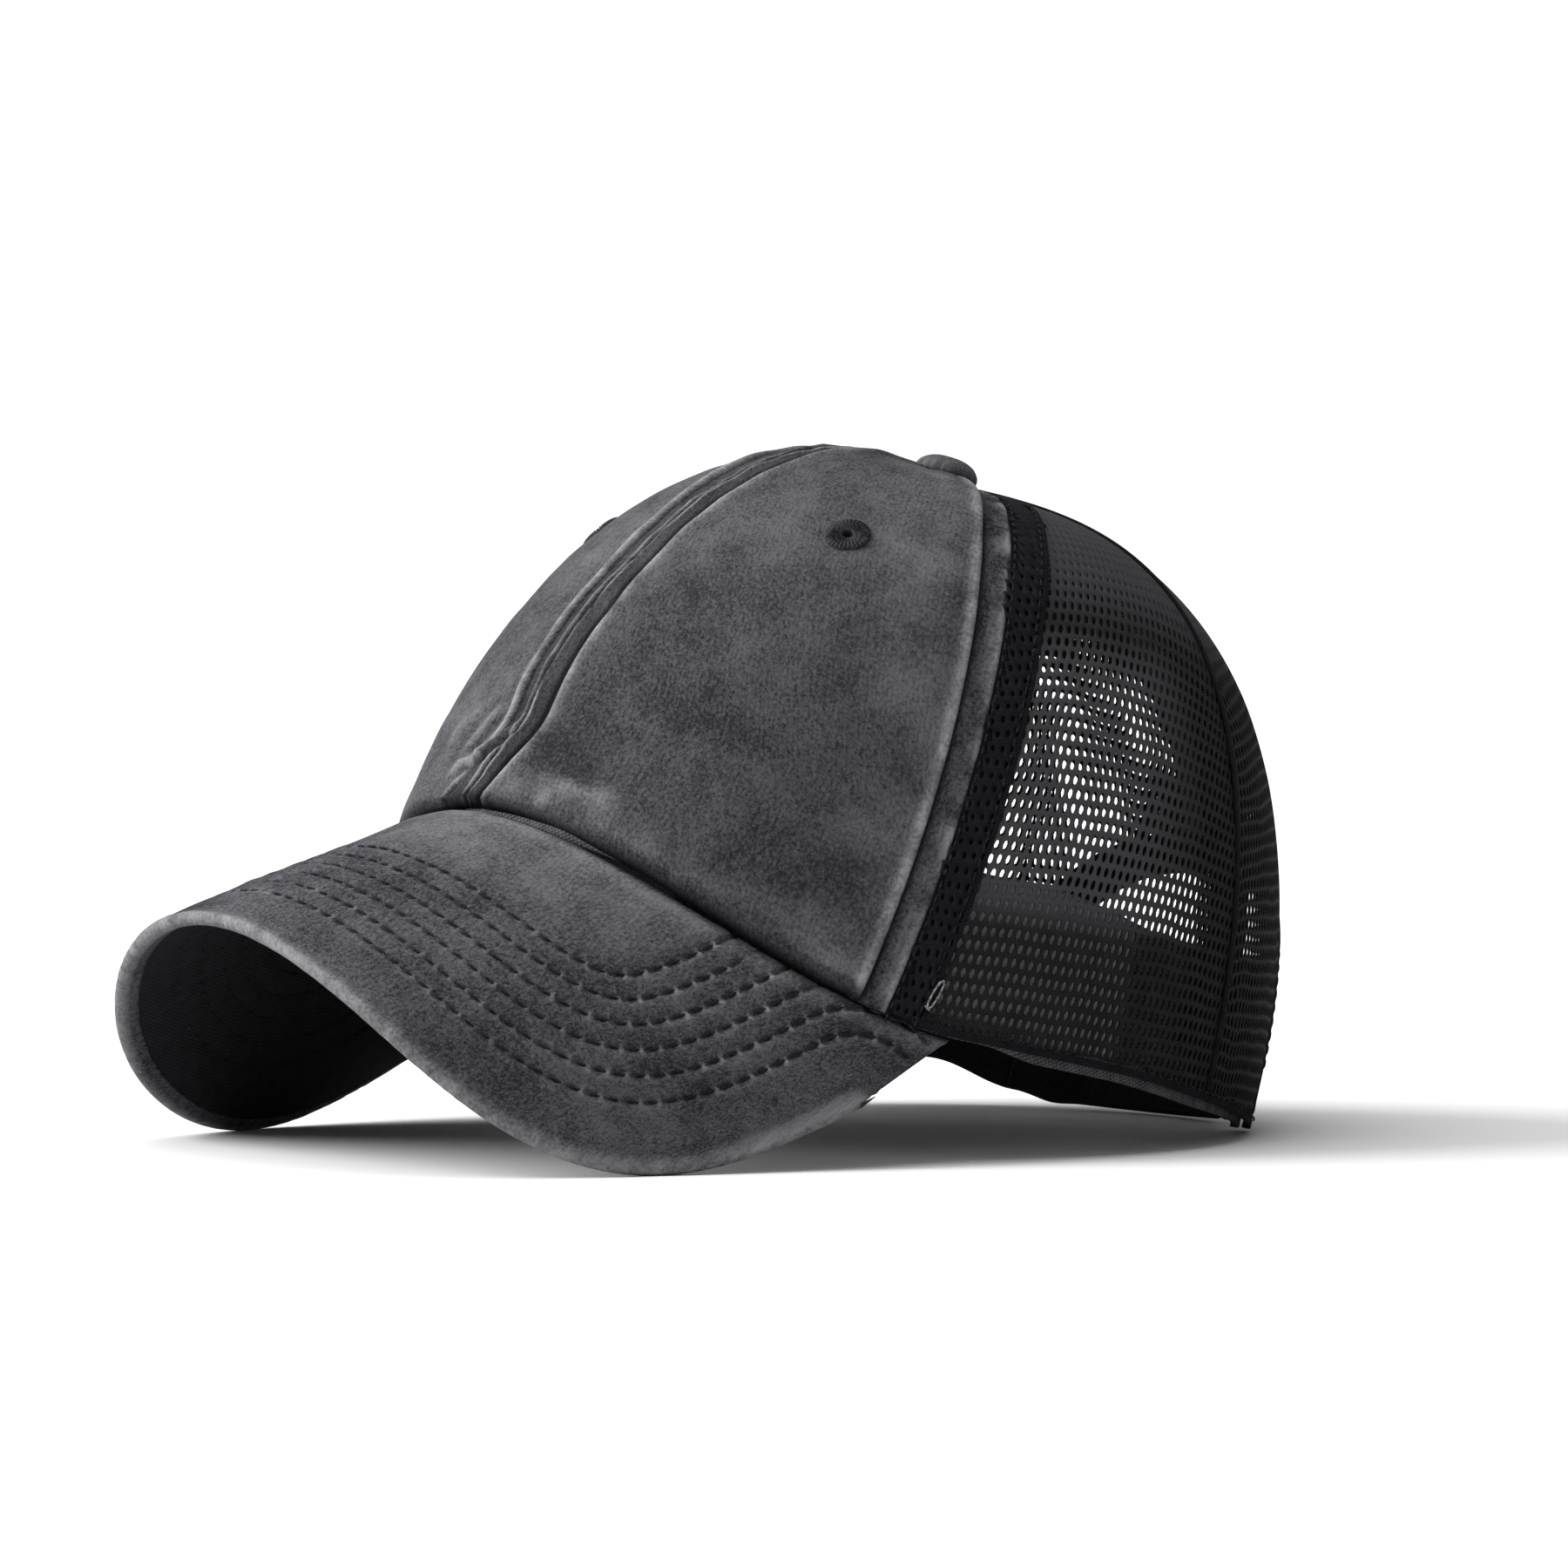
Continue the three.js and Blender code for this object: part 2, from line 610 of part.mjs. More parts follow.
function addPiece(name, geometry, finish) {
  const mesh = new THREE.Mesh(geometry, new THREE.MeshStandardMaterial(FINISHES[finish]));
  mesh.name = name;
  cap.add(mesh);
}

for (const [label, side] of [['left', 1], ['right', -1]]) {
  addPiece(`front_panel_${label}`, frontPanel(side), 'cotton');
  addPiece(`side_strip_${label}`, sideStrip(side), 'strip');
  addPiece(`mesh_band_${label}`, meshBand(side), 'mesh');
  addPiece(`side_mesh_${label}`, sideMesh(side), 'mesh');
  addPiece(`back_mesh_${label}`, backMesh(side), 'mesh');
  addPiece(`seam_tape_${label}`, seamTape(side, BACK_SIDE_SEAM, TAPE_WIDTH, TAPE_FOOT), 'tape');
  addPiece(`strap_${label}`, strap(side), 'black_cloth');
  addPiece(`eyelet_${label}`, eyelet(side), 'thread');
}
const backTapeFoot = (OPENING_HEIGHT + BINDING_WIDTH) / CROWN_HEIGHT;
addPiece('seam_tape_back', seamTape(1, 180, BACK_TAPE_WIDTH, backTapeFoot), 'tape');
addPiece('opening_binding', openingBinding(), 'tape');
addPiece('sweatband', sweatband(), 'black_cloth');
addPiece('peak', peakLayer(PEAK_GRID, 0, PEAK_TOP_THICKNESS, 0, 0), 'cotton');
const underTop = PEAK_TOP_THICKNESS + PIECE_GAP;
const underside = peakLayer(
  UNDERSIDE_GRID, underTop, PEAK_UNDER_THICKNESS, PEAK_UNDER_INSET, PEAK_UNDER_TUCK,
);
addPiece('peak_underside', underside, 'black_cloth');
addPiece('top_button', topButton(), 'cotton');

// The cap leans back until it rests on its strap and the peak's sides, over the origin.
cap.rotation.x = -radians(REST_TILT);
const model = new THREE.Group();
model.add(cap);
model.updateMatrixWorld(true);
const box = new THREE.Box3().setFromObject(cap, true);
const middle = box.getCenter(new THREE.Vector3());
cap.position.set(-middle.x, -middle.y, -box.min.z);

export default model;
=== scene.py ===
import math

import bmesh
import bpy
import numpy as np
from mathutils import Matrix


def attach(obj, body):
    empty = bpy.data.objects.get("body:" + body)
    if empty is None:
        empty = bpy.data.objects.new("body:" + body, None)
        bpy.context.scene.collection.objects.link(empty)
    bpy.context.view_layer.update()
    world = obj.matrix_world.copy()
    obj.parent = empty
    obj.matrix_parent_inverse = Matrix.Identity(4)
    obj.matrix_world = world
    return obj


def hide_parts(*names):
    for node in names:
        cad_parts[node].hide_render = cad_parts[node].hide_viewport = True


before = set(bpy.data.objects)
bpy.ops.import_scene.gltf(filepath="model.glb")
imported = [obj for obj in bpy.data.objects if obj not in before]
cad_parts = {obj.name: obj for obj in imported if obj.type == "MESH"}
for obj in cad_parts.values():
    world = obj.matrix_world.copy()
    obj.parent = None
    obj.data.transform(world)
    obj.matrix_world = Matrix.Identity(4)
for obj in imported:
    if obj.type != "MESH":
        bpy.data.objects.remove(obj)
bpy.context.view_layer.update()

# The finished trucker cap: washed cotton, knitted mesh, stitches, floor, light and camera.
# The crown's shape is worked out as the solids' is, in millimetres and degrees, in the crown's own
# frame, where the rim is level. to_row tilts it back on its strap and gives metres.
# Azimuth is 0 at the front and grows towards the wearer's left; level is 0 at the rim, 1 at the top.

# Crown
RIM_HALF_WIDTH = 90.5
RIM_HALF_LENGTH = 95.0
CROWN_HEIGHT = 119.6
TOP_SET_BACK = 14.5
TOP_HOLE_RADIUS = 2.6
LEVEL_EASE = 2.6
REST_TILT = 9.63
REST_SHIFT = (-0.037, 25.132, 19.867)

# Side profile at 0, 45, 90, 135 and 180 degrees: its two powers, its swell and how far its shoulder rises
CROWN_PROFILE = {
    "rise": (1.354, 1.975, 2.078, 2.069, 1.867),
    "shoulder": (3.004, 3.733, 3.433, 2.562, 2.467),
    "bulge": (0.13, 0.019, -0.013, -0.002, 0.017),
    "crest": (6.34, 0.87, -2.42, -2.68, -2.97),
}
DENTS = (
    {"azimuth": -9, "level": 0.375, "radius": 13, "depth": 2.2},
    {"azimuth": 9, "level": 0.33, "radius": 11, "depth": 1.4},
    {"azimuth": 24, "level": 0.38, "radius": 14, "depth": 1.2},
)

# Walls and seams
COTTON_WALL = 1.6
MESH_WALL = 1.0
TAPE_WALL = 0.8
BAND_WALL = 1.5
STRAP_WALL = 1.4
PIECE_GAP = 0.3
STRIP_WIDTH = 6.1
STRIP_TUCK = 1.6
MESH_BAND_WIDTH = 7.5
TAPE_WIDTH = 16.0
TAPE_FOOT = 0.005
BACK_TAPE_WIDTH = 11.0
SEAM_TAPER_RADIUS = 30.0
SIDE_SEAM = {"foot": 60.4, "middle": 65.5, "top": 65.2}
BACK_SIDE_SEAM = 118.2

# Centre seam from the peak up: where it runs, and how far its stitch rows lie to the right and left of it
CENTRE_SEAM = (
    {"level": 0.28, "azimuth": -3.6, "right": 10.5, "left": 4.8},
    {"level": 0.36, "azimuth": -0.6, "right": 9.0, "left": 5.2},
    {"level": 0.395, "azimuth": 0.9, "right": 7.4, "left": 5.6},
    {"level": 0.427, "azimuth": 2.3, "right": 5.8, "left": 5.7},
    {"level": 0.459, "azimuth": 3.9, "right": 5.0, "left": 5.4},
    {"level": 0.5, "azimuth": 2.9, "right": 5.4, "left": 6.0},
    {"level": 0.54, "azimuth": 1.8, "right": 5.0, "left": 6.6},
    {"level": 0.6, "azimuth": 1.1, "right": 4.9, "left": 6.7},
    {"level": 0.72, "azimuth": 0.4, "right": 5.6, "left": 6.3},
    {"level": 0.85, "azimuth": -1.4, "right": 5.9, "left": 6.3},
    {"level": 1.0, "azimuth": -3.0, "right": 6.0, "left": 6.2},
)

SEAM_ROUNDING = 0.022

# Peak
PEAK_PITCH = math.radians(27.23)
PEAK_HALF_WIDTH = 74.03
PEAK_ARCH = 85.75
PEAK_LENGTH = 67.35
PEAK_END_AZIMUTH = 77.6
PEAK_FRONT_RISE = 36.6
PEAK_END_RISE = 1.22
PEAK_JOIN_POWER = 1.76
PEAK_SIDE_POWER = 0.734
PEAK_FRONT_POWER = 0.443
PEAK_CORNER_TRIM = -0.05
PEAK_COLUMN_EASE = 1.15
PEAK_END_ROUND = 3.0
PEAK_END_TURN = 1.55
PEAK_EDGE_RADIUS = 1.6
PEAK_UNDER_DEPTH = 2.55
PEAK_STITCH_ROWS = 6
PEAK_STITCH_INSET = 15.0
PEAK_STITCH_SPACING = 5.7
PEAK_STITCH_PITCH = 4.2
PEAK_STITCH_SHIFT = 0.31

# Hem, sweatband, back opening and strap
HEM_END_AZIMUTH = 150.0
HEM_DROP = {"left": 4.6, "right": -2.2}
HEM_POWER = 0.8
HEM_WIDTH = 1.7
HEM_DIP = {"drop": 1.4, "from": 98.0, "to": 122.0}
HEM_CORNER = {"drop": 1.3, "from": 118.0, "to": 142.0}
BAND_DEPTH = 2.5
BAND_FOOT = {"front": 8, "side": 30, "behind": 88, "hang_front": 2.6, "hang_back": 1.9, "clear": 0.6}
BAND_TOP = {"front": 36.4, "back": 28.0, "from": 80.0, "to": 113.0}
BAND_DROOP = {"drop": 5.0, "from": 139.0, "to": 153.0}
OPENING_HALF_WIDTH = 43.0
OPENING_HEIGHT = 48.0
OPENING_POWER = 2.6
BINDING_WIDTH = 8.5
BINDING_LEG = {"left": 0.1, "right": 1e-6}
STRAP_TOP = 16.0
STRAP_FOOT = -4.0
STRAP_OVERLAP = 26.0
STRAP_OUTER_DEPTH = 0.8

# Button and eyelets
BUTTON_RADIUS = 6.8
BUTTON_DOME = 3.8
BUTTON_FORWARD = 1.2
BUTTON_FOOT = 0.8
BUTTON_TUCK = -0.3
BUTTON_RISE = 0.2
BUTTON_LEAN = 10.2
EYELET = {"azimuth": 41.5, "radius": 4.7, "bore": 1.1, "collar": 2.3, "proud": 0.55, "stitches": 30}
EYELET_LEVEL = {1: 0.846, -1: 0.824}

# Seam finish
LIP_RADIUS = 0.9
SEAM_STITCH_PITCH = 3.4
SEAM_STITCH_TOP = 0.985
THREAD_RADIUS = 0.26
THREAD_SINK = 0.1

# Net
NET_PITCH = 1.86
NET_ROW = 3.1
NET_HOLE = {"width": 0.62, "height": 0.76, "slant": 0.3}
BACK_HOLE = {"width": 0.8, "height": 0.86, "slant": 0.16}
BAND_HOLE = {"width": 0.44, "height": 0.5, "slant": 0.1}
NET_THREAD = 0.45
SEAM_ALLOWANCE = {"side": 14.0, "back": 9.0}
NET_DEPTH = 0.5
NET_ROW_BOW = 0.035
NET_ROW_CREST = 90.0
NET_LENGTH = 175.0
NET_FOOT = -0.06
NET_TOP_RADIUS = 3.6
BAND_NET_TOP_RADIUS = 20.0

# Creases of the cotton front: height is how far each stands out, or in where it is negative, width is
# its half width, and route its line in azimuth and level.
CREASES = (
    {"height": 1.25, "width": 1.1,
     "route": ((3.4, 0.452), (0.7, 0.436), (-1.8, 0.415), (-4.9, 0.397), (-9.2, 0.385), (-11, 0.365))},
    {"height": -1.2, "width": 1.1, "route": ((3.2, 0.443), (-0.5, 0.414), (-3.9, 0.388), (-8.0, 0.366))},
    {"height": 0.8, "width": 1.5, "route": ((-4.2, 0.486), (-7.2, 0.445), (-10.0, 0.41))},
    {"height": -0.8, "width": 1.5, "route": ((-3.6, 0.466), (-6.0, 0.44), (-8.6, 0.41))},
    {"height": 0.5, "width": 1.8, "route": ((-9.5, 0.49), (-13.8, 0.45), (-15.5, 0.41))},
    {"height": 0.6, "width": 0.9, "route": ((4.6, 0.44), (1.4, 0.41), (-1.6, 0.372), (-3.6, 0.34))},
    {"height": 0.75, "width": 2.6, "route": ((12.3, 0.377), (17.1, 0.356), (20.7, 0.347), (23.6, 0.333))},
    {"height": -0.9, "width": 2.8, "route": ((13.6, 0.394), (17.2, 0.386), (20.7, 0.377))},
    {"height": 0.5, "width": 2.2, "route": ((11.2, 0.313), (12.5, 0.324), (13.7, 0.347))},
)


def cosine_series(azimuth, column):
    """Smooth value of one profile column in any direction, through its five rows."""
    rows = CROWN_PROFILE[column]
    last = len(rows) - 1
    shares = [0.5 if row in (0, last) else 1.0 for row in range(last + 1)]
    value = 0.0
    for wave in range(last + 1):
        turns = [math.cos(math.pi * wave * row / last) for row in range(last + 1)]
        weight = sum(share * height * turn for share, height, turn in zip(shares, rows, turns))
        half = 1.0 if wave in (0, last) else 2.0
        value = value + half / last * weight * np.cos(np.radians(wave * azimuth))
    return value


def radius_share(azimuth, level):
    """Share of the rim radius that is left at a level."""
    height = np.clip(level, 0.0, 1.0)
    swell = 1 + cosine_series(azimuth, "bulge") * 4 * height * (1 - height)
    left = np.maximum(1 - height ** cosine_series(azimuth, "rise"), 0.0)
    return left ** (1 / cosine_series(azimuth, "shoulder")) * swell


def smooth_crown(azimuth, level):
    """Points of the undented crown."""
    azimuth = np.asarray(azimuth, float)
    level = np.asarray(level, float)
    share = radius_share(azimuth, level)
    crest = cosine_series(azimuth, "crest") * 4 * share * (1 - np.minimum(share, 1)) * level
    turn = np.radians(azimuth)
    return np.stack((
        RIM_HALF_WIDTH * np.sin(turn) * share,
        TOP_SET_BACK * level - RIM_HALF_LENGTH * np.cos(turn) * share,
        CROWN_HEIGHT * level + crest,
    ), axis=-1)


def unit(vectors):
    return vectors / np.maximum(np.linalg.norm(vectors, axis=-1, keepdims=True), 1e-9)


def crown_normal(azimuth, level):
    """Outward directions of the crown."""
    azimuth = np.asarray(azimuth, float)
    step = np.clip((1 - level) / 2, 1e-5, 0.004)
    along = smooth_crown(azimuth + 0.5, level) - smooth_crown(azimuth - 0.5, level)
    up = smooth_crown(azimuth, level + step) - smooth_crown(azimuth, level - step)
    return unit(np.cross(along, up))


def dent_depth(points):
    """How far the dents push the crown in."""
    depth = 0.0
    for dent in DENTS:
        centre = smooth_crown(dent["azimuth"], dent["level"])
        reach = np.linalg.norm(points - centre, axis=-1) / dent["radius"]
        depth = depth + dent["depth"] * np.exp(-reach ** 2)
    return depth


def skin(azimuth, level, depth=0.0):
    """Points of the crown's cloth, a given depth in from its outer skin."""
    points = smooth_crown(azimuth, level)
    inward = depth + dent_depth(points)
    return points - crown_normal(azimuth, level) * np.asarray(inward)[..., None]


def ring_radius(azimuth, level):
    """Distance of the cloth from the crown's axis."""
    turn = np.radians(azimuth)
    rim = np.hypot(RIM_HALF_WIDTH * np.sin(turn), RIM_HALF_LENGTH * np.cos(turn))
    return rim * radius_share(azimuth, level)


def turn_of(width, azimuth, level):
    """Turn in degrees that a width along the cloth takes. Near the button, seams taper instead."""
    return np.degrees(width / np.maximum(ring_radius(azimuth, level), SEAM_TAPER_RADIUS))


def width_of(turn, azimuth, level):
    """Width along the cloth of a turn in degrees, the other way round from turn_of."""
    return np.radians(turn) * np.maximum(ring_radius(azimuth, level), SEAM_TAPER_RADIUS)


def seam_value(level, column):
    """Value of one column of the centre seam's table at a level, rounded off between its rows."""
    rows = [row["level"] for row in CENTRE_SEAM]
    values = [row[column] for row in CENTRE_SEAM]
    steps = np.linspace(-SEAM_ROUNDING, SEAM_ROUNDING, 7)
    return sum(np.interp(level + step, rows, values) for step in steps) / len(steps)


def centre_seam(level):
    return seam_value(level, "azimuth")


def side_seam(level):
    foot, middle, top = (SIDE_SEAM[key] for key in ("foot", "middle", "top"))
    curve = 2 * (foot + top - 2 * middle)
    return foot + (top - foot - curve) * level + curve * level * level


def behind_side_seam(width, level):
    seam = side_seam(level)
    return seam + turn_of(width, seam, level)


def seam_line(width):
    """Line up the crown a width behind the side seam, as a function from level to azimuth."""
    return lambda level: behind_side_seam(width, level)


def side_name(side):
    """Sides are 1 for the wearer's left and -1 for the right."""
    return "left" if side > 0 else "right"


def join_level(azimuth):
    """Level of the line where the peak meets the crown."""
    turn = np.minimum(np.abs(azimuth) / PEAK_END_AZIMUTH, 1) * (math.pi / 2)
    rise = (PEAK_FRONT_RISE - PEAK_END_RISE) * np.maximum(np.cos(turn), 0) ** PEAK_JOIN_POWER
    return (PEAK_END_RISE + rise) / CROWN_HEIGHT


def hem_level(azimuth):
    """Level of the crown's lower edge: along the peak in front, then the hem."""
    drop = np.where(np.asarray(azimuth) > 0, HEM_DROP["left"], HEM_DROP["right"])
    past = np.clip((np.abs(azimuth) - PEAK_END_AZIMUTH) / (HEM_END_AZIMUTH - PEAK_END_AZIMUTH), 0, 1)
    dip = HEM_DIP["drop"] * smoothstep(azimuth, HEM_DIP["from"], HEM_DIP["to"]) + hem_corner(azimuth)
    return join_level(azimuth) - (drop * past ** HEM_POWER + dip) / CROWN_HEIGHT


def hem_corner(azimuth):
    """How far the left side's hem comes down to the inner band's edge at the back opening."""
    return HEM_CORNER["drop"] * smoothstep(azimuth, HEM_CORNER["from"], HEM_CORNER["to"])


def climb_level(azimuth, foot, climb):
    """Level part of the way from a lower edge to the hole under the button."""
    share = TOP_HOLE_RADIUS / RIM_HALF_WIDTH
    top = (1 - share ** cosine_series(azimuth, "shoulder")) ** (1 / cosine_series(azimuth, "rise"))
    foot_climb = 1 - (1 - foot) ** (1 / LEVEL_EASE)
    top_climb = 1 - (1 - top) ** (1 / LEVEL_EASE)
    return 1 - (1 - (foot_climb + (top_climb - foot_climb) * climb)) ** LEVEL_EASE


def smoothstep(value, low, high):
    share = np.clip((value - low) / (high - low), 0, 1)
    return share * share * (3 - 2 * share)


def mix(low, high, share):
    return low + (high - low) * share


def bell(value, width):
    return np.exp(-(value / width) ** 2)


def to_row(points):
    """Crown points in the row frame, in metres."""
    turn = math.radians(REST_TILT)
    tilt = np.array(((1, 0, 0), (0, math.cos(turn), math.sin(turn)), (0, -math.sin(turn), math.cos(turn))))
    return (np.asarray(points) @ tilt.T + REST_SHIFT) * 0.001


def soft_noise(x, y, cell, seed):
    """Smooth random relief from -1 to 1 over a flat place, with lumps of about one cell."""
    table = np.random.RandomState(seed).uniform(-1, 1, (64, 64))
    column = np.asarray(x) / cell
    row = np.asarray(y) / cell
    left = np.floor(column).astype(int)
    low = np.floor(row).astype(int)
    across = smoothstep(column - left, 0, 1)
    up = smoothstep(row - low, 0, 1)

    def at(i, j):
        return table[(left + i) % 64, (low + j) % 64]

    return mix(mix(at(0, 0), at(1, 0), across), mix(at(0, 1), at(1, 1), across), up)


def crease_relief(points):
    """How far the creases lift the cotton at points of the crown."""
    relief = 0.0
    for crease in CREASES:
        route = skin(*np.array(crease["route"]).T)
        near = np.full(points.shape[:-1], 1e9)
        place = np.zeros(points.shape[:-1])
        count = len(route) - 1
        for index in range(count):
            start, reach = route[index], route[index + 1] - route[index]
            share = np.clip(((points - start) @ reach) / (reach @ reach), 0, 1)
            away = np.linalg.norm(points - start - share[..., None] * reach, axis=-1)
            place = np.where(away < near, (index + share) / count, place)
            near = np.minimum(near, away)
        fade = np.clip(4 * place * (1 - place) + 0.35, 0, 1)
        relief = relief + crease["height"] * fade * bell(near, crease["width"])
    return relief


# Materials

# Colour of painted shade in grooves, crease hollows, recesses and over the peak, also of the darker unfaded
# fell, and the ribs in a unit of a wave texture whose scale is 1
SHADE_AND_UNFADED_DYE = (0.012, 0.0118, 0.0135)
WAVE_RIBS = 20 / (2 * math.pi)


class Finish:
    """A material whose nodes are added one by one."""

    def __init__(self, name, roughness, specular, sheen=0.0):
        self.material = bpy.data.materials.new(name)
        self.material.use_nodes = True
        self.tree = self.material.node_tree
        self.shader = self.tree.nodes["Principled BSDF"]
        self.shader.inputs["Roughness"].default_value = roughness
        self.shader.inputs["Specular IOR Level"].default_value = specular
        self.shader.inputs["Sheen Weight"].default_value = sheen
        self.shader.inputs["Sheen Roughness"].default_value = 0.6

    def node(self, kind, links=(), **settings):
        node = self.tree.nodes.new(kind)
        for key, value in settings.items():
            setattr(node, key, value)
        for socket, value in dict(links).items():
            target = node.inputs[socket]
            if isinstance(value, bpy.types.NodeSocket):
                self.tree.links.new(value, target)
            else:
                target.default_value = value
        return node

    def place(self):
        return self.node("ShaderNodeTexCoord").outputs["Object"]

    def cloth(self):
        return self.node("ShaderNodeUVMap", uv_map="cloth").outputs["UV"]

    def painted(self, name):
        return self.node("ShaderNodeAttribute", attribute_name=name).outputs["Fac"]

    def noise(self, where, size, detail=2.0, rough=0.5):
        """Noise whose lumps measure size millimetres."""
        links = {"Vector": where, "Scale": 1000.0 / size, "Detail": detail, "Roughness": rough}
        return self.node("ShaderNodeTexNoise", links).outputs["Fac"]

    def ribs(self, where, width, turn, bend=0.0):
        """Ribs of a weave, width millimetres apart and turned in the cloth."""
        turned = self.node("ShaderNodeMapping", {"Vector": where, "Rotation": (0, 0, math.radians(turn))})
        links = {
            "Vector": turned.outputs["Vector"], "Scale": 1000.0 / width / WAVE_RIBS,
            "Distortion": bend, "Detail": 1.0, "Detail Scale": 2.0,
        }
        return self.node("ShaderNodeTexWave", links).outputs["Fac"]

    def math(self, operation, first, second):
        return self.node("ShaderNodeMath", {0: first, 1: second}, operation=operation).outputs[0]

    def blend(self, *parts):
        """Sum of sources, each times its share."""
        total = None
        for source, share in parts:
            part = self.math("MULTIPLY", source, share)
            total = part if total is None else self.math("ADD", total, part)
        return total

    def spread(self, source, low, high, to_low=0.0, to_high=1.0):
        """A source's range from low to high, spread over another range and cut off at its ends."""
        links = {"Value": source, "From Min": low, "From Max": high, "To Min": to_low, "To Max": to_high}
        return self.node("ShaderNodeMapRange", links).outputs["Result"]

    def dye(self, share, first, second):
        """Colour between two others. Sockets 6, 7 and output 2 are the mix node's colours."""
        node = self.node("ShaderNodeMix", {"Factor": share}, data_type="RGBA")
        for socket, value in ((6, first), (7, second)):
            if isinstance(value, bpy.types.NodeSocket):
                self.tree.links.new(value, node.inputs[socket])
            else:
                node.inputs[socket].default_value = (*value, 1.0)
        return node.outputs[2]

    def colour(self, source):
        self.tree.links.new(source, self.shader.inputs["Base Color"])

    def relief(self, height, depth, strength=1.0):
        """Bump from a height of 0 to 1, depth millimetres deep."""
        links = {"Height": height, "Distance": depth * 0.001, "Strength": strength}
        bump = self.node("ShaderNodeBump", links)
        self.tree.links.new(bump.outputs["Normal"], self.shader.inputs["Normal"])


def washed_cotton(name, dark, pale, worn_and_lit_colour, twill):
    """Garment washed twill, its ribs turned by twill: mottled dye, pale grain, worn edges and painted
    highlights, painted shade in folds and grooves.
    """
    finish = Finish(name, 0.95, 0.03)
    place = finish.place()
    cloth = finish.cloth()
    clouds = finish.noise(place, 24.0, 3.0)
    patches = finish.noise(place, 8.0, 3.0, 0.6)
    drawn = finish.node("ShaderNodeMapping", {"Vector": cloth, "Scale": (1.0, 0.34, 1.0)}).outputs["Vector"]
    streaks = finish.noise(drawn, 0.85, 1.0, 0.5)
    grain = finish.noise(cloth, 0.9, 2.0, 0.6)
    fluff = finish.noise(place, 0.45, 1.0, 0.5)
    twill_ribs = finish.ribs(cloth, 1.1, twill, 2.5)
    sources = ((clouds, 1.5), (patches, 1.0), (streaks, 1.0), (grain, 1.8), (fluff, 1.5), (twill_ribs, 0.06))
    middle = 0.5 - sum(0.5 * share for _, share in sources)
    tone = finish.spread(finish.math("ADD", finish.blend(*sources), middle), 0.0, 1.0)
    # The painted attribute's positive values paint worn cloth and painted highlights; its negative values
    # paint shade towards a dark colour.
    worn_and_lit = finish.spread(finish.painted("wear_and_painted_light"), 0.0, 1.0)
    painted_shade_and_unfaded_dye = finish.spread(finish.painted("wear_and_painted_light"), 0.0, -1.0)
    uneven = finish.spread(finish.blend((patches, 0.5), (grain, 0.5)), 0.38, 0.58, 0.5, 1.15)
    worn_and_lit_share = finish.math("MULTIPLY", worn_and_lit, uneven)
    washed = finish.dye(worn_and_lit_share, finish.dye(tone, dark, pale), worn_and_lit_colour)
    finish.colour(finish.dye(painted_shade_and_unfaded_dye, washed, SHADE_AND_UNFADED_DYE))
    finish.relief(finish.blend((twill_ribs, 0.1), (grain, 0.55), (fluff, 0.35)), 0.3, 0.8)
    return finish.material


def plain_cloth(name, dark, pale, ribs=0.7, specular=0.04):
    """Close dark weave with little colour change."""
    finish = Finish(name, 0.9, specular)
    cloth = finish.cloth()
    lint = finish.noise(finish.place(), 3.0, 3.0, 0.65)
    weave = finish.ribs(cloth, ribs, 55.0, 1.0)
    cross = finish.ribs(cloth, ribs, -35.0, 1.0)
    tone = finish.spread(finish.blend((lint, 0.6), (weave, 0.25), (cross, 0.15)), 0.3, 0.7)
    worn_and_lit_share = finish.painted("wear_and_painted_light")
    # The painted attribute pales the cloth: worn edges on the binding, painted light on the inner band.
    finish.colour(finish.dye(worn_and_lit_share, finish.dye(tone, dark, pale), tuple(3.2 * shade for shade in pale)))
    finish.relief(finish.blend((weave, 0.6), (cross, 0.4)), 0.12, 0.7)
    return finish.material


def net_yarn(name, dark, pale):
    """Smooth filament yarn of the mesh, with the twist of its loops."""
    finish = Finish(name, 0.65, 0.03)
    cloth = finish.cloth()
    loops = finish.ribs(cloth, 0.42, 62.0, 3.0)
    dust = finish.noise(finish.place(), 4.0, 2.0)
    tone = finish.spread(finish.blend((loops, 0.45), (dust, 0.55)), 0.3, 0.7)
    # Painted light: the painted attribute makes the yarn paler where light falls on the net.
    painted_light_colour = tuple(3.6 * shade for shade in pale)
    finish.colour(finish.dye(finish.painted("wear_and_painted_light"), finish.dye(tone, dark, pale), painted_light_colour))
    finish.relief(loops, 0.1, 0.7)
    return finish.material


def sewing_thread(name, dark, pale):
    """Twisted thread of the stitches."""
    finish = Finish(name, 0.75, 0.08)
    place = finish.place()
    ply = finish.ribs(place, 0.5, 35.0, 1.0)
    lint = finish.noise(place, 2.0)
    finish.colour(finish.dye(finish.spread(finish.blend((ply, 0.5), (lint, 0.5)), 0.25, 0.75), dark, pale))
    finish.relief(ply, 0.08, 0.6)
    return finish.material


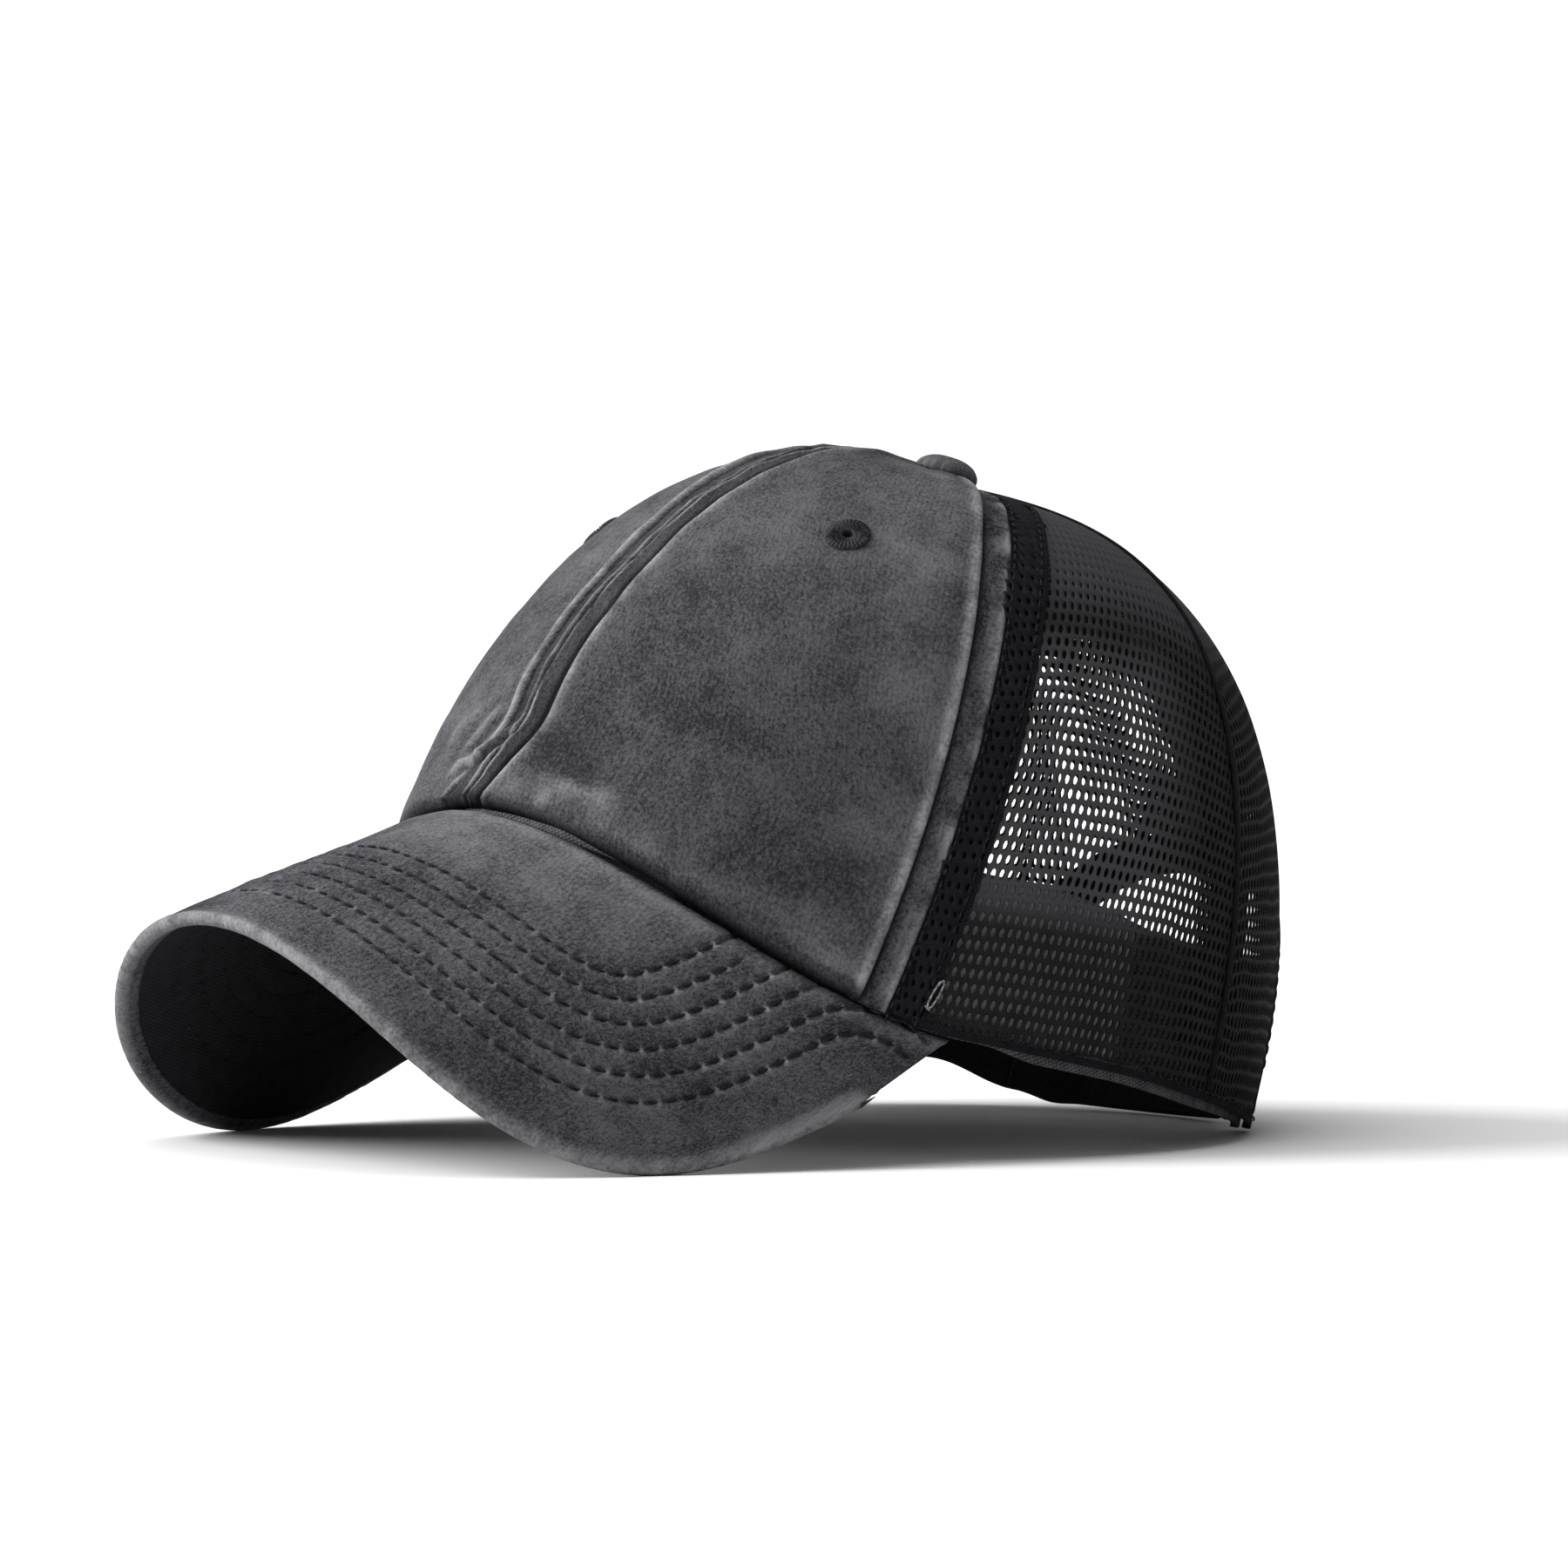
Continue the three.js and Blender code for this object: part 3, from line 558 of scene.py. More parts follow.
COTTON = washed_cotton(
    "washed_cotton", (0.0152, 0.0149, 0.0172), (0.063, 0.062, 0.069), (0.26, 0.258, 0.268), -14.0)
PEAK_COTTON = washed_cotton(
    "peak_cotton", (0.0185, 0.0181, 0.0208), (0.083, 0.0819, 0.0905), (0.24, 0.238, 0.248), 20.0)
STRIP_COTTON = washed_cotton(
    "strip_cotton", (0.0138, 0.0136, 0.0155), (0.069, 0.068, 0.0755), (0.24, 0.238, 0.246), 12.0)
NET_YARN = net_yarn("net_yarn", (0.008, 0.008, 0.009), (0.02, 0.02, 0.0215))
BAND_YARN = net_yarn("band_yarn", (0.005, 0.005, 0.006), (0.014, 0.014, 0.0165))
TAPE_CLOTH = plain_cloth("tape_cloth", (0.005, 0.005, 0.006), (0.012, 0.012, 0.014))
# Back tape painted pale grey as painted light, where light comes through the layers of net over it.
BACK_TAPE_PAINTED_LIGHT = plain_cloth("back_tape_painted_light", (0.05, 0.05, 0.053), (0.09, 0.09, 0.095))
BLACK_TWILL = plain_cloth("black_twill", (0.0098, 0.0098, 0.0113), (0.0196, 0.0196, 0.0219), 0.9, 0.03)
# Grey backing of the inner band; its paler colour also serves the painted light at the sides.
BAND_CLOTH = plain_cloth("band_cloth", (0.02, 0.02, 0.022), (0.095, 0.095, 0.1), 0.8)
DARK_THREAD = sewing_thread("dark_thread", (0.005, 0.005, 0.0062), (0.016, 0.016, 0.0185))
EYELET_THREAD = sewing_thread("eyelet_thread", (0.011, 0.011, 0.0125), (0.034, 0.034, 0.037))
PALE_THREAD = sewing_thread("pale_thread", (0.1, 0.1, 0.105), (0.25, 0.25, 0.26))


# Building


def grid_coordinates(mesh, columns, rows):
    """Place of each vertex of a flat grid from 0 to 1 along and up, in rows of columns."""
    flat = np.zeros(len(mesh.vertices) * 3)
    mesh.vertices.foreach_get("co", flat)
    flat = flat.reshape(rows + 1, columns + 1, 3) + 0.5
    return flat[..., 0], flat[..., 1]


def laid_flat(points):
    """Lengths along and up the cloth, from the middle column and the first row, in metres."""
    across = np.linalg.norm(np.diff(points, axis=1), axis=-1)
    upward = np.linalg.norm(np.diff(points, axis=0), axis=-1)
    along = np.concatenate((np.zeros((len(points), 1)), np.cumsum(across, axis=1)), axis=1)
    climb = np.concatenate((np.zeros((1, points.shape[1])), np.cumsum(upward, axis=0)), axis=0)
    along = along - along[:, along.shape[1] // 2][:, None]
    return np.stack((along, climb), axis=-1) * 0.001


def set_cloth(mesh, flat):
    """Writes the cloth's own flat lengths into the mesh's cloth map."""
    layer = mesh.uv_layers.new(name="cloth")
    corners = np.zeros(len(mesh.loops), dtype=np.int64)
    mesh.loops.foreach_get("vertex_index", corners)
    layer.data.foreach_set("uv", flat.reshape(-1, 2)[corners].astype(np.float32).ravel())


def set_painted(mesh, name, values):
    attribute = mesh.attributes.new(name, "FLOAT", "POINT")
    attribute.data.foreach_set("value", np.asarray(values, np.float32).ravel())


def face_outward(mesh, outward):
    """Turns the mesh's faces to the side that the outward directions of its vertices point to."""
    total = 0.0
    for polygon in list(mesh.polygons)[:: max(1, len(mesh.polygons) // 200)]:
        total += float(np.dot(polygon.normal, outward.reshape(-1, 3)[polygon.vertices[0]]))
    if total < 0:
        mesh.flip_normals()


def new_object(name, mesh, *materials):
    piece = bpy.data.objects.new(name, mesh)
    bpy.context.scene.collection.objects.link(piece)
    for material in materials:
        mesh.materials.append(material)
    mesh.shade_smooth()
    return piece


def thicken(piece, thickness, inner_material=0):
    wall = piece.modifiers.new("wall", "SOLIDIFY")
    wall.thickness = thickness * 0.001
    wall.offset = -1.0
    wall.material_offset = inner_material
    wall.material_offset_rim = 0
    return wall


def sew_in(piece, slot, *nodes):
    """Puts a finished piece on the cap in place of its solids."""
    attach(piece, "root")
    if nodes:
        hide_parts(*nodes)
    return piece


def sheet_mesh(name, columns, rows, shape):
    """Mesh of a shaped sheet. shape gives points, outward directions and painted tone for a flat place: wear,
    painted light and painted shade.
    """
    form = bmesh.new()
    bmesh.ops.create_grid(form, x_segments=columns, y_segments=rows, size=0.5)
    mesh = bpy.data.meshes.new(name)
    form.to_mesh(mesh)
    form.free()
    along, up = grid_coordinates(mesh, columns, rows)
    points, outward, wear_and_painted_light = shape(along, up)
    mesh.vertices.foreach_set("co", to_row(points).astype(np.float32).ravel())
    set_cloth(mesh, laid_flat(points))
    set_painted(mesh, "wear_and_painted_light", np.broadcast_to(wear_and_painted_light, along.shape))
    mesh.update()
    face_outward(mesh, outward)
    return mesh


def joined(name, meshes):
    """One mesh of several, with their materials kept in order."""
    materials = []
    form = bmesh.new()
    for mesh in meshes:
        offsets = []
        for material in mesh.materials:
            if material not in materials:
                materials.append(material)
            offsets.append(materials.index(material))
        first = len(form.faces)
        form.from_mesh(mesh)
        form.faces.ensure_lookup_table()
        for index in range(first, len(form.faces)):
            face = form.faces[index]
            face.material_index = offsets[face.material_index]
    whole = bpy.data.meshes.new(name)
    form.to_mesh(whole)
    form.free()
    for material in materials:
        whole.materials.append(material)
    return whole


# Crown cloth


def eased(share, ends):
    """Shares from 0 to 1 that lie closer together near both ends."""
    return share - ends * np.sin(2 * math.pi * share) / (2 * math.pi)


def panel_place(side, along, up, from_line, to_line):
    """Azimuth and level of a crown panel's points between two seam lines."""
    azimuth = mix(from_line(0.0), to_line(0.0), along)
    level = np.zeros_like(along)
    for _ in range(4):
        foot = hem_level(side * azimuth) + PIECE_GAP / CROWN_HEIGHT
        level = climb_level(azimuth, foot, up)
        azimuth = mix(from_line(level), to_line(level), along)
    return azimuth, level


def climb_length(points):
    """Length up the cloth of each point from its foot."""
    return laid_flat(points)[..., 1] * 1000


def front_panel(side):
    """Cotton front panel: a felled centre seam, a rolled rear edge and the creases over the peak."""
    label = side_name(side)

    def middle(level):
        return side * centre_seam(level)

    def shape(along, up):
        azimuth, level = panel_place(side, eased(along, 0.72), up, middle, side_seam)
        points = skin(side * azimuth, level)
        height = climb_length(points)
        from_seam = width_of(azimuth - middle(level), azimuth, level)
        from_edge = width_of(side_seam(level) - azimuth, azimuth, level)
        offset = seam_value(level, label)
        pucker = soft_noise(height + side * 31, from_seam * 0.6, 7.0, 5)
        fine = soft_noise(height, from_seam * 0.3 + side * 9, 2.3, 6)
        creases = crease_relief(points)

        # Felled centre seam: its ditch, the ridge beside it, the flat fell and the stitched groove
        relief = -0.75 * bell(from_seam, 0.5)
        relief += (0.4 + 0.2 * fine) * bell(from_seam - 1.3, 0.7)
        relief += 0.3 * (1 - smoothstep(from_seam, offset - 1.0, offset + 1.0)) * (1 + 0.6 * pucker)
        relief -= (0.95 + 0.25 * fine) * bell(from_seam - offset, 0.7)
        relief += (0.7 + 0.3 * pucker) * bell(from_seam - offset - 2.0, 1.3)

        # Waves of the washed cloth, its creases, and its swell beside the button
        relief += 0.45 * soft_noise(azimuth * 1.6, height, 24.0, 7 + side)
        relief += 0.16 * soft_noise(azimuth * 1.6, height, 7.0, 12 + side)
        relief += creases
        beside_button = smoothstep(ring_radius(azimuth, level), 7, 20)
        relief += 1.6 * smoothstep(level, 0.9, 0.975) * bell(azimuth - 58, 22) * beside_button

        # Rolled rear edge, and the turned foot over the peak
        roll = np.clip(1 - from_edge / LIP_RADIUS, 0, 1)
        relief -= LIP_RADIUS * (1 - np.sqrt(np.maximum(1 - roll ** 2, 0)))
        relief += 0.35 * bell(from_edge - 1.7, 1.3) * (1 + 0.5 * fine)
        foot = np.clip(1 - height / 3.2, 0, 1)
        relief -= 2.6 * (1 - np.sqrt(np.maximum(1 - foot ** 2, 0)))

        # Pale on worn ridges and edges, painted shade in the seam's grooves, the creases' hollows and over
        # the peak
        # The pale ridge beside the centre seam is worn, and stronger on the left panel as a painted highlight
        # where it faces the key light.
        ridge = 0.62 if side > 0 else 0.3
        wear_and_painted_light = 0.85 * bell(from_edge - 1.1, 1.15) * (0.75 + 0.4 * fine)
        wear_and_painted_light += 0.6 * bell(from_seam - offset - 2.0, 1.35) * (0.75 + 0.35 * fine + 0.3 * pucker)
        wear_and_painted_light += ridge * bell(from_seam - 1.25, 0.5) * (0.65 + 0.7 * pucker)
        wear_and_painted_light += 0.14 * bell(from_edge - 9, 11) * (0.7 + 0.6 * pucker)
        wear_and_painted_light += 0.09 * (side < 0) + 0.05 * smoothstep(level, 0.6, 0.85)
        fell = smoothstep(from_seam, 1.6, 2.4) * (1 - smoothstep(from_seam, offset - 0.4, offset + 0.4))
        wear_and_painted_light -= (0.5 + 0.2 * pucker) * fell
        # Painted shade in the seam's two grooves.
        wear_and_painted_light -= 0.8 * bell(from_seam - offset, 0.62) + 0.75 * bell(from_seam, 0.45)
        # Painted shade in the creases' hollows and painted highlight on their ridges.
        wear_and_painted_light += np.clip(creases * 0.4, -0.6, 0.45) * (1 - 0.7 * bell(from_seam - offset, 0.9))
        # Painted shade along the foot, where the panel meets the peak.
        wear_and_painted_light -= 0.95 * bell(height, 2.0)
        wear_and_painted_light += 0.14 * bell(height - 6.0, 4.0) * (0.5 + 0.8 * pucker)
        normal = crown_normal(side * azimuth, level)
        return points + normal * relief[..., None], normal, np.clip(wear_and_painted_light, -1, 1)

    mesh = sheet_mesh(f"cotton_front_{label}", 154, 140, shape)
    form = bmesh.new()
    form.from_mesh(mesh)
    centre = to_row(skin(side * EYELET["azimuth"], EYELET_LEVEL[side]))
    inside = [
        face for face in form.faces
        if np.linalg.norm(np.array(face.calc_center_median()) - centre) < EYELET["collar"] * 0.001
    ]
    bmesh.ops.delete(form, geom=inside, context="FACES")
    form.to_mesh(mesh)
    form.free()
    piece = new_object(f"cotton_front_{label}", mesh, COTTON)
    thicken(piece, 1.2)
    return sew_in(piece, "washed_cotton", f"front_panel_{label}")


def side_strip(side):
    """Narrow cotton strip that shows behind the front panel's raised edge."""
    first, last = -STRIP_TUCK, STRIP_WIDTH + PIECE_GAP

    def shape(along, up):
        azimuth, level = panel_place(side, along, up, seam_line(first), seam_line(last))
        points = skin(side * azimuth, level)
        height = climb_length(points)
        across = mix(first, last, along)
        lumps = soft_noise(height, across * 0.7, 5.0, 21 + side)
        specks = soft_noise(height, across, 1.6, 25 + side)
        to_rear = last - across
        depth = 0.6 + 1.0 * bell(across + 0.4, 1.6) - 0.35 * bell(to_rear - 1.3, 1.1)
        depth -= 0.16 * lumps - 0.8 * np.clip(1 - to_rear / 0.8, 0, 1) ** 2
        normal = crown_normal(side * azimuth, level)
        wear_and_painted_light = 0.6 * bell(to_rear - 0.8, 0.9) * np.clip(0.6 + 0.5 * lumps + 0.35 * specks, 0, 1)
        wear_and_painted_light += 0.3 * smoothstep(across, 1.8, 3.2) * np.clip(0.3 + lumps, -0.6, 1)
        # Painted shadow along the strip's front, under the front panel's raised edge.
        wear_and_painted_light -= 0.8 * (1 - smoothstep(across, 0.2, 1.5))
        return points - normal * depth[..., None], normal, np.clip(wear_and_painted_light, -1, 1)

    label = side_name(side)
    mesh = sheet_mesh(f"seam_strip_{label}", 20, 170, shape)
    piece = new_object(f"seam_strip_{label}", mesh, STRIP_COTTON)
    thicken(piece, 0.6)
    return sew_in(piece, "washed_cotton", f"side_strip_{label}")


def ribbon(name, columns, rows, place, depth, thickness, bulge=0.0):
    """Narrow band of tape cloth on the crown. place gives azimuth and level for along and up."""

    def shape(along, up):
        azimuth, level = place(along, up)
        points = skin(azimuth, level)
        normal = crown_normal(azimuth, level)
        swell = bulge * (1 - (2 * along - 1) ** 2)
        return points + normal * (swell - depth)[..., None], normal, 0.0

    mesh = sheet_mesh(name, columns, rows, shape)
    mesh.materials.append(TAPE_CLOTH)
    return walled(mesh, thickness)


def walled(mesh, thickness):
    """The mesh with its wall built in."""
    form = bpy.data.objects.new("wall", mesh)
    bpy.context.scene.collection.objects.link(form)
    thicken(form, thickness)
    bpy.context.view_layer.update()
    wall = bpy.data.meshes.new_from_object(form.evaluated_get(bpy.context.evaluated_depsgraph_get()))
    bpy.data.objects.remove(form)
    return wall


# Net


def net_cell_pair(hole_shape):
    """Two cells of the net, the upper one half a pitch on, each a square with a slanted oval hole."""
    pair = bmesh.new()
    for row in range(2):
        cell = bmesh.new()
        bmesh.ops.create_grid(cell, x_segments=2, y_segments=2, size=0.5)
        middle = min(cell.verts, key=lambda vert: vert.co.length)
        bmesh.ops.bevel(
            cell, geom=[middle], offset=0.25, segments=2, profile=0.5, affect="VERTICES", material=-1,
        )
        hole = [vert for vert in cell.verts if max(abs(vert.co.x), abs(vert.co.y)) < 0.49]
        for vert in hole:
            angle = math.atan2(vert.co.y, vert.co.x)
            vert.co.y = hole_shape["height"] / 2 * math.sin(angle)
            vert.co.x = hole_shape["width"] / 2 * math.cos(angle) + hole_shape["slant"] * vert.co.y
        inner = [face for face in cell.faces if all(vert in hole for vert in face.verts)]
        bmesh.ops.delete(cell, geom=inner, context="FACES_ONLY")
        bmesh.ops.translate(cell, verts=cell.verts[:], vec=(0.5 + 0.5 * row, 0.5 + row, 0))
        part = bpy.data.meshes.new("cell")
        cell.to_mesh(part)
        cell.free()
        pair.from_mesh(part)
        bpy.data.meshes.remove(part)
    bmesh.ops.remove_doubles(pair, verts=pair.verts[:], dist=0.01)
    mesh = bpy.data.meshes.new("net_cells")
    pair.to_mesh(mesh)
    pair.free()
    return mesh


def net_field(columns, pairs, hole_shape):
    """Flat field of net cells, a cell wide and high each."""
    field = bpy.data.objects.new("net_field", net_cell_pair(hole_shape))
    bpy.context.scene.collection.objects.link(field)
    for count, step in ((columns, (1, 0, 0)), (pairs, (0, 2, 0))):
        repeat = field.modifiers.new("repeat", "ARRAY")
        repeat.use_relative_offset = False
        repeat.use_constant_offset = True
        repeat.constant_offset_displace = step
        repeat.count = count
        repeat.use_merge_vertices = True
        repeat.merge_threshold = 0.01
    bpy.context.view_layer.update()
    mesh = bpy.data.meshes.new_from_object(field.evaluated_get(bpy.context.evaluated_depsgraph_get()))
    bpy.data.objects.remove(field)
    return mesh


def net_place(cells, middle):
    """Azimuth and level on the crown of places in a net field, in cells from its foot and middle."""
    levels = climb_level(np.full(600, float(middle)), NET_FOOT, np.linspace(0, 1, 600))
    spine = smooth_crown(np.full_like(levels, middle), levels)
    climb = np.concatenate(((0,), np.cumsum(np.linalg.norm(np.diff(spine, axis=0), axis=-1))))
    level = np.interp(cells[:, 1] * NET_ROW, climb, levels)
    radius = np.maximum(ring_radius(np.full_like(level, middle), level), 4.0)
    azimuth = middle + np.degrees(cells[:, 0] * NET_PITCH / radius)
    crest = middle if middle > BACK_SIDE_SEAM else NET_ROW_CREST
    bow = NET_ROW_BOW * np.clip(level, 0, 1) * ((azimuth - crest) / 18.0) ** 2
    return azimuth, level - np.minimum(bow, 0.12) * (1 - smoothstep(level, 0.7, 0.92))


def drawn_in(flat, half_cells, middle):
    """Net places with the holes drawn narrower towards the top of the crown."""
    row = np.floor(flat[:, 1])
    shift = 0.5 * (row % 2) - half_cells % 1
    centre = np.stack((np.floor(flat[:, 0] - shift) + shift + 0.5, row + 0.5), axis=-1)
    away = flat - centre
    inner = np.abs(away).max(axis=1) < 0.49
    _, level = net_place(centre, middle)
    first, last = (0.68, 0.84) if middle > BACK_SIDE_SEAM else (0.78, 0.93)
    size = 1 - 0.8 * smoothstep(level, first, last)
    return np.where(inner[:, None], centre + away * size[:, None], flat)


def net_painted_light(azimuth, level):
    """Painted light on the net's yarn: paler in front above the inner band, and round the top where the top
    light falls.
    """
    front = 0.6 * (1 - smoothstep(azimuth, 94, 112)) * smoothstep(level, 0.21, 0.28)
    return np.maximum(front * (1 - smoothstep(level, 0.68, 0.8)), 0.5 * smoothstep(level, 0.72, 0.88))


def net_panel(side, middle, half_cells, keep, depth, hole_shape=NET_HOLE, stretch=0.1, yarn=NET_YARN):
    """Knitted net on the crown: the cells of a flat field that keep says are inside the panel.

    stretch is how far the washed cloth has pulled its cells out of line, in cells.
    """
    pairs = int(NET_LENGTH / NET_ROW / 2)
    mesh = net_field(2 * half_cells, pairs, hole_shape)
    form = bmesh.new()
    form.from_mesh(mesh)
    form.faces.ensure_lookup_table()
    centres = np.array([face.calc_center_median()[:2] for face in form.faces])
    row_shift = np.stack((0.5 * (np.floor(centres[:, 1]) % 2), 0 * centres[:, 1]), axis=-1)
    cell_middles = np.floor(centres - row_shift) + 0.5 + row_shift
    azimuth, level = net_place(cell_middles - (half_cells, 0), middle)
    outside = ~keep(azimuth, level)
    gone = [form.faces[index] for index in np.nonzero(outside)[0]]
    bmesh.ops.delete(form, geom=gone, context="FACES_ONLY")
    loose = [vert for vert in form.verts if not vert.link_faces]
    bmesh.ops.delete(form, geom=loose, context="VERTS")
    form.to_mesh(mesh)
    form.free()
    flat = np.zeros(len(mesh.vertices) * 3)
    mesh.vertices.foreach_get("co", flat)
    flat = flat.reshape(-1, 3)[:, :2] - (half_cells, 0)
    pulled = [soft_noise(flat[:, 0], flat[:, 1], 3.2, seed + side) for seed in (43, 47)]
    flat = drawn_in(flat, half_cells, middle)
    azimuth, level = net_place(flat + stretch * np.stack(pulled, axis=-1), middle)
    level = np.clip(level, -0.2, 0.99999)
    sag = 0.18 * soft_noise(flat[:, 0], flat[:, 1] * 1.8, 9.0, 41)
    normal = crown_normal(side * azimuth, level)
    points = skin(side * azimuth, level, depth) + normal * sag[:, None]
    mesh.vertices.foreach_set("co", to_row(points).astype(np.float32).ravel())
    set_cloth(mesh, flat * (NET_PITCH * 0.001, NET_ROW * 0.001))
    set_painted(mesh, "wear_and_painted_light", net_painted_light(azimuth, level) * (yarn is NET_YARN))
    mesh.update()
    face_outward(mesh, normal)
    mesh.materials.append(yarn)
    return walled(mesh, NET_THREAD)


def seam_cover(name, side, line, width, depth, foot=0.0):
    """Folded edge that covers the cut ends of the net along a seam."""

    def place(along, up):
        azimuth = line(0.0) + 0 * along
        level = 0 * along
        for _ in range(4):
            low = np.maximum(hem_level(side * azimuth) + PIECE_GAP / CROWN_HEIGHT, foot)
            level = climb_level(azimuth, low, up)
            azimuth = line(level) + (along - 0.5) * turn_of(width, azimuth, level)
        return side * azimuth, level

    return ribbon(name, 6, 110, place, depth, 0.5, bulge=0.2)


def hem_cover(name, side, first, last):
    """Folded hem along the net's lower edge."""

    def place(along, up):
        azimuth = mix(first, last, up)
        level = hem_level(side * azimuth) + (PIECE_GAP + HEM_WIDTH * along) / CROWN_HEIGHT
        return side * azimuth, level

    return ribbon(name, 5, 90, place, 0.2, 0.8, bulge=0.15)


def side_net(side):
    """Open side panel of the net, from under the mesh band to the back side seam."""
    label = side_name(side)
    front_width = STRIP_WIDTH + MESH_BAND_WIDTH

    def keep(azimuth, level):
        return (
            (azimuth > behind_side_seam(front_width - 0.4, level)) & (azimuth < BACK_SIDE_SEAM + 0.1)
            & (level > hem_level(side * azimuth) + 1.6 / CROWN_HEIGHT)
            & (ring_radius(azimuth, level) > NET_TOP_RADIUS)
        )

    def doubled(azimuth, level):
        allowance = turn_of(SEAM_ALLOWANCE["side"], BACK_SIDE_SEAM, level)
        return keep(azimuth, level) & (azimuth > BACK_SIDE_SEAM - allowance) & (level > 0.06)

    net = net_panel(side, 95.0, 40, keep, NET_DEPTH)
    under = net_panel(side, 95.3, 40, doubled, NET_DEPTH + 0.6)
    seam = seam_cover(f"net_seam_{label}", side, lambda level: BACK_SIDE_SEAM + 0 * level, 1.8, 0.1)
    hem = hem_cover(f"net_hem_{label}", side, behind_side_seam(front_width - 1.0, 0.0), BACK_SIDE_SEAM)
    mesh = joined(f"side_net_{label}", (net, under, seam, hem))
    return sew_in(new_object(f"side_net_{label}", mesh), "mesh", f"side_mesh_{label}")


def arch_point(share, outside):
    """Place of the back opening's edge, or of a line a given width outside it."""
    turn = math.pi * share
    power = 2 / OPENING_POWER
    across = np.sign(np.cos(turn)) * np.abs(np.cos(turn)) ** power
    rise = np.maximum(np.sin(turn), 0) ** power
    return (OPENING_HALF_WIDTH + outside) * across, (OPENING_HEIGHT + outside) * rise


def back_azimuth(x, level):
    """Azimuth at the back where the crown has a sideways distance."""
    azimuth = np.full(np.broadcast(x, level).shape, 180.0)
    for _ in range(6):
        share = radius_share(azimuth, level)
        azimuth = 180 - np.degrees(np.arcsin(np.clip(np.abs(x) / (RIM_HALF_WIDTH * share), 0, 1)))
    return np.where(np.asarray(x) < 0, -azimuth, azimuth)


def inside_arch(azimuth, level, outside):
    """True where the crown lies inside the back opening's edge, widened by outside."""
    share = radius_share(azimuth, level)
    x = RIM_HALF_WIDTH * np.sin(np.radians(azimuth)) * share
    z = level * CROWN_HEIGHT
    wide = np.abs(x) / (OPENING_HALF_WIDTH + outside)
    high = np.maximum(z, 0) / (OPENING_HEIGHT + outside)
    return wide ** OPENING_POWER + high ** OPENING_POWER < 1


def back_net(side):
    """Open back panel of the net, from the side seam to the middle of the back."""
    label = side_name(side)

    def keep(azimuth, level):
        return (
            (azimuth > BACK_SIDE_SEAM - 0.1) & (azimuth < 180.4)
            & (level > hem_level(side * azimuth) + 1.6 / CROWN_HEIGHT)
            & (ring_radius(azimuth, level) > NET_TOP_RADIUS)
            & ~inside_arch(azimuth, level, BINDING_WIDTH - 1.2)
        )

    def doubled(azimuth, level):
        allowance = turn_of(SEAM_ALLOWANCE["back"], 180.0, level)
        return keep(azimuth, level) & (azimuth > 180 - allowance)

    net = net_panel(side, 149.0, 44, keep, NET_DEPTH, BACK_HOLE, 0.2)
    under = net_panel(side, 149.4, 44, doubled, NET_DEPTH + 0.6, BACK_HOLE, 0.2)
    end = float(back_azimuth(OPENING_HALF_WIDTH + BINDING_WIDTH - 1, 0.0))
    hem = hem_cover(f"back_hem_{label}", side, BACK_SIDE_SEAM, end)
    parts = [net, under, hem]
    if side > 0:
        top = (OPENING_HEIGHT + BINDING_WIDTH - 1) / CROWN_HEIGHT
        parts.append(seam_cover("back_seam", 1, lambda level: 180.0 + 0 * level, 1.8, 0.1, top))
    mesh = joined(f"back_net_{label}", parts)
    return sew_in(new_object(f"back_net_{label}", mesh), "mesh", f"back_mesh_{label}")


def mesh_band(side):
    """Doubled band of net behind the cotton strip, on a dark backing."""
    label = side_name(side)
    front, rear = STRIP_WIDTH, STRIP_WIDTH + MESH_BAND_WIDTH

    def keep(azimuth, level):
        return (
            (azimuth > behind_side_seam(front + 0.8, level)) & (azimuth < behind_side_seam(rear - 0.2, level))
            & (level > hem_level(side * azimuth) + 0.8 / CROWN_HEIGHT)
            & (ring_radius(azimuth, level) > BAND_NET_TOP_RADIUS)
        )

    def backing(along, up):
        azimuth, level = panel_place(side, along, up, seam_line(front - 1), seam_line(rear + 0.6))
        return side * azimuth, level

    net = net_panel(side, 95.0, 40, keep, 0.1, BAND_HOLE, 0.3, BAND_YARN)
    back = ribbon(f"band_backing_{label}", 8, 110, backing, 0.8, 0.6)
    edge = seam_cover(f"band_edge_{label}", side, seam_line(rear + PIECE_GAP), 1.0, 0.2)
    mesh = joined(f"net_band_{label}", (net, back, edge))
    return sew_in(new_object(f"net_band_{label}", mesh), "mesh", f"mesh_band_{label}")


# Tapes, sweatband, binding and strap


def seam_tape(label, side, azimuth, width, foot, material):
    """Tape inside a mesh seam."""

    def shape(along, up):
        level = climb_level(np.full_like(along, azimuth), foot, up)
        place = azimuth + (along - 0.5) * turn_of(width, azimuth, level)
        across = (along - 0.5) * width
        ridge = 0.22 * bell(np.abs(across) - width / 2 + 1.2, 0.8)
        ridge -= 0.3 * bell(np.abs(across) - width * 0.3, 0.5)
        depth = MESH_WALL + PIECE_GAP - ridge
        normal = crown_normal(side * place, level)
        return skin(side * place, level) - normal * depth[..., None], normal, 0.0

    mesh = sheet_mesh(f"inner_tape_{label}", 22, 130, shape)
    piece = new_object(f"inner_tape_{label}", mesh, material)
    thicken(piece, TAPE_WALL * 0.8)
    return sew_in(piece, "black_tape", f"seam_tape_{label}")


def side_tape(side):
    foot = max(TAPE_FOOT, float(hem_level(side * BACK_SIDE_SEAM)) + PIECE_GAP / CROWN_HEIGHT)
    return seam_tape(side_name(side), side, BACK_SIDE_SEAM, TAPE_WIDTH, foot, TAPE_CLOTH)


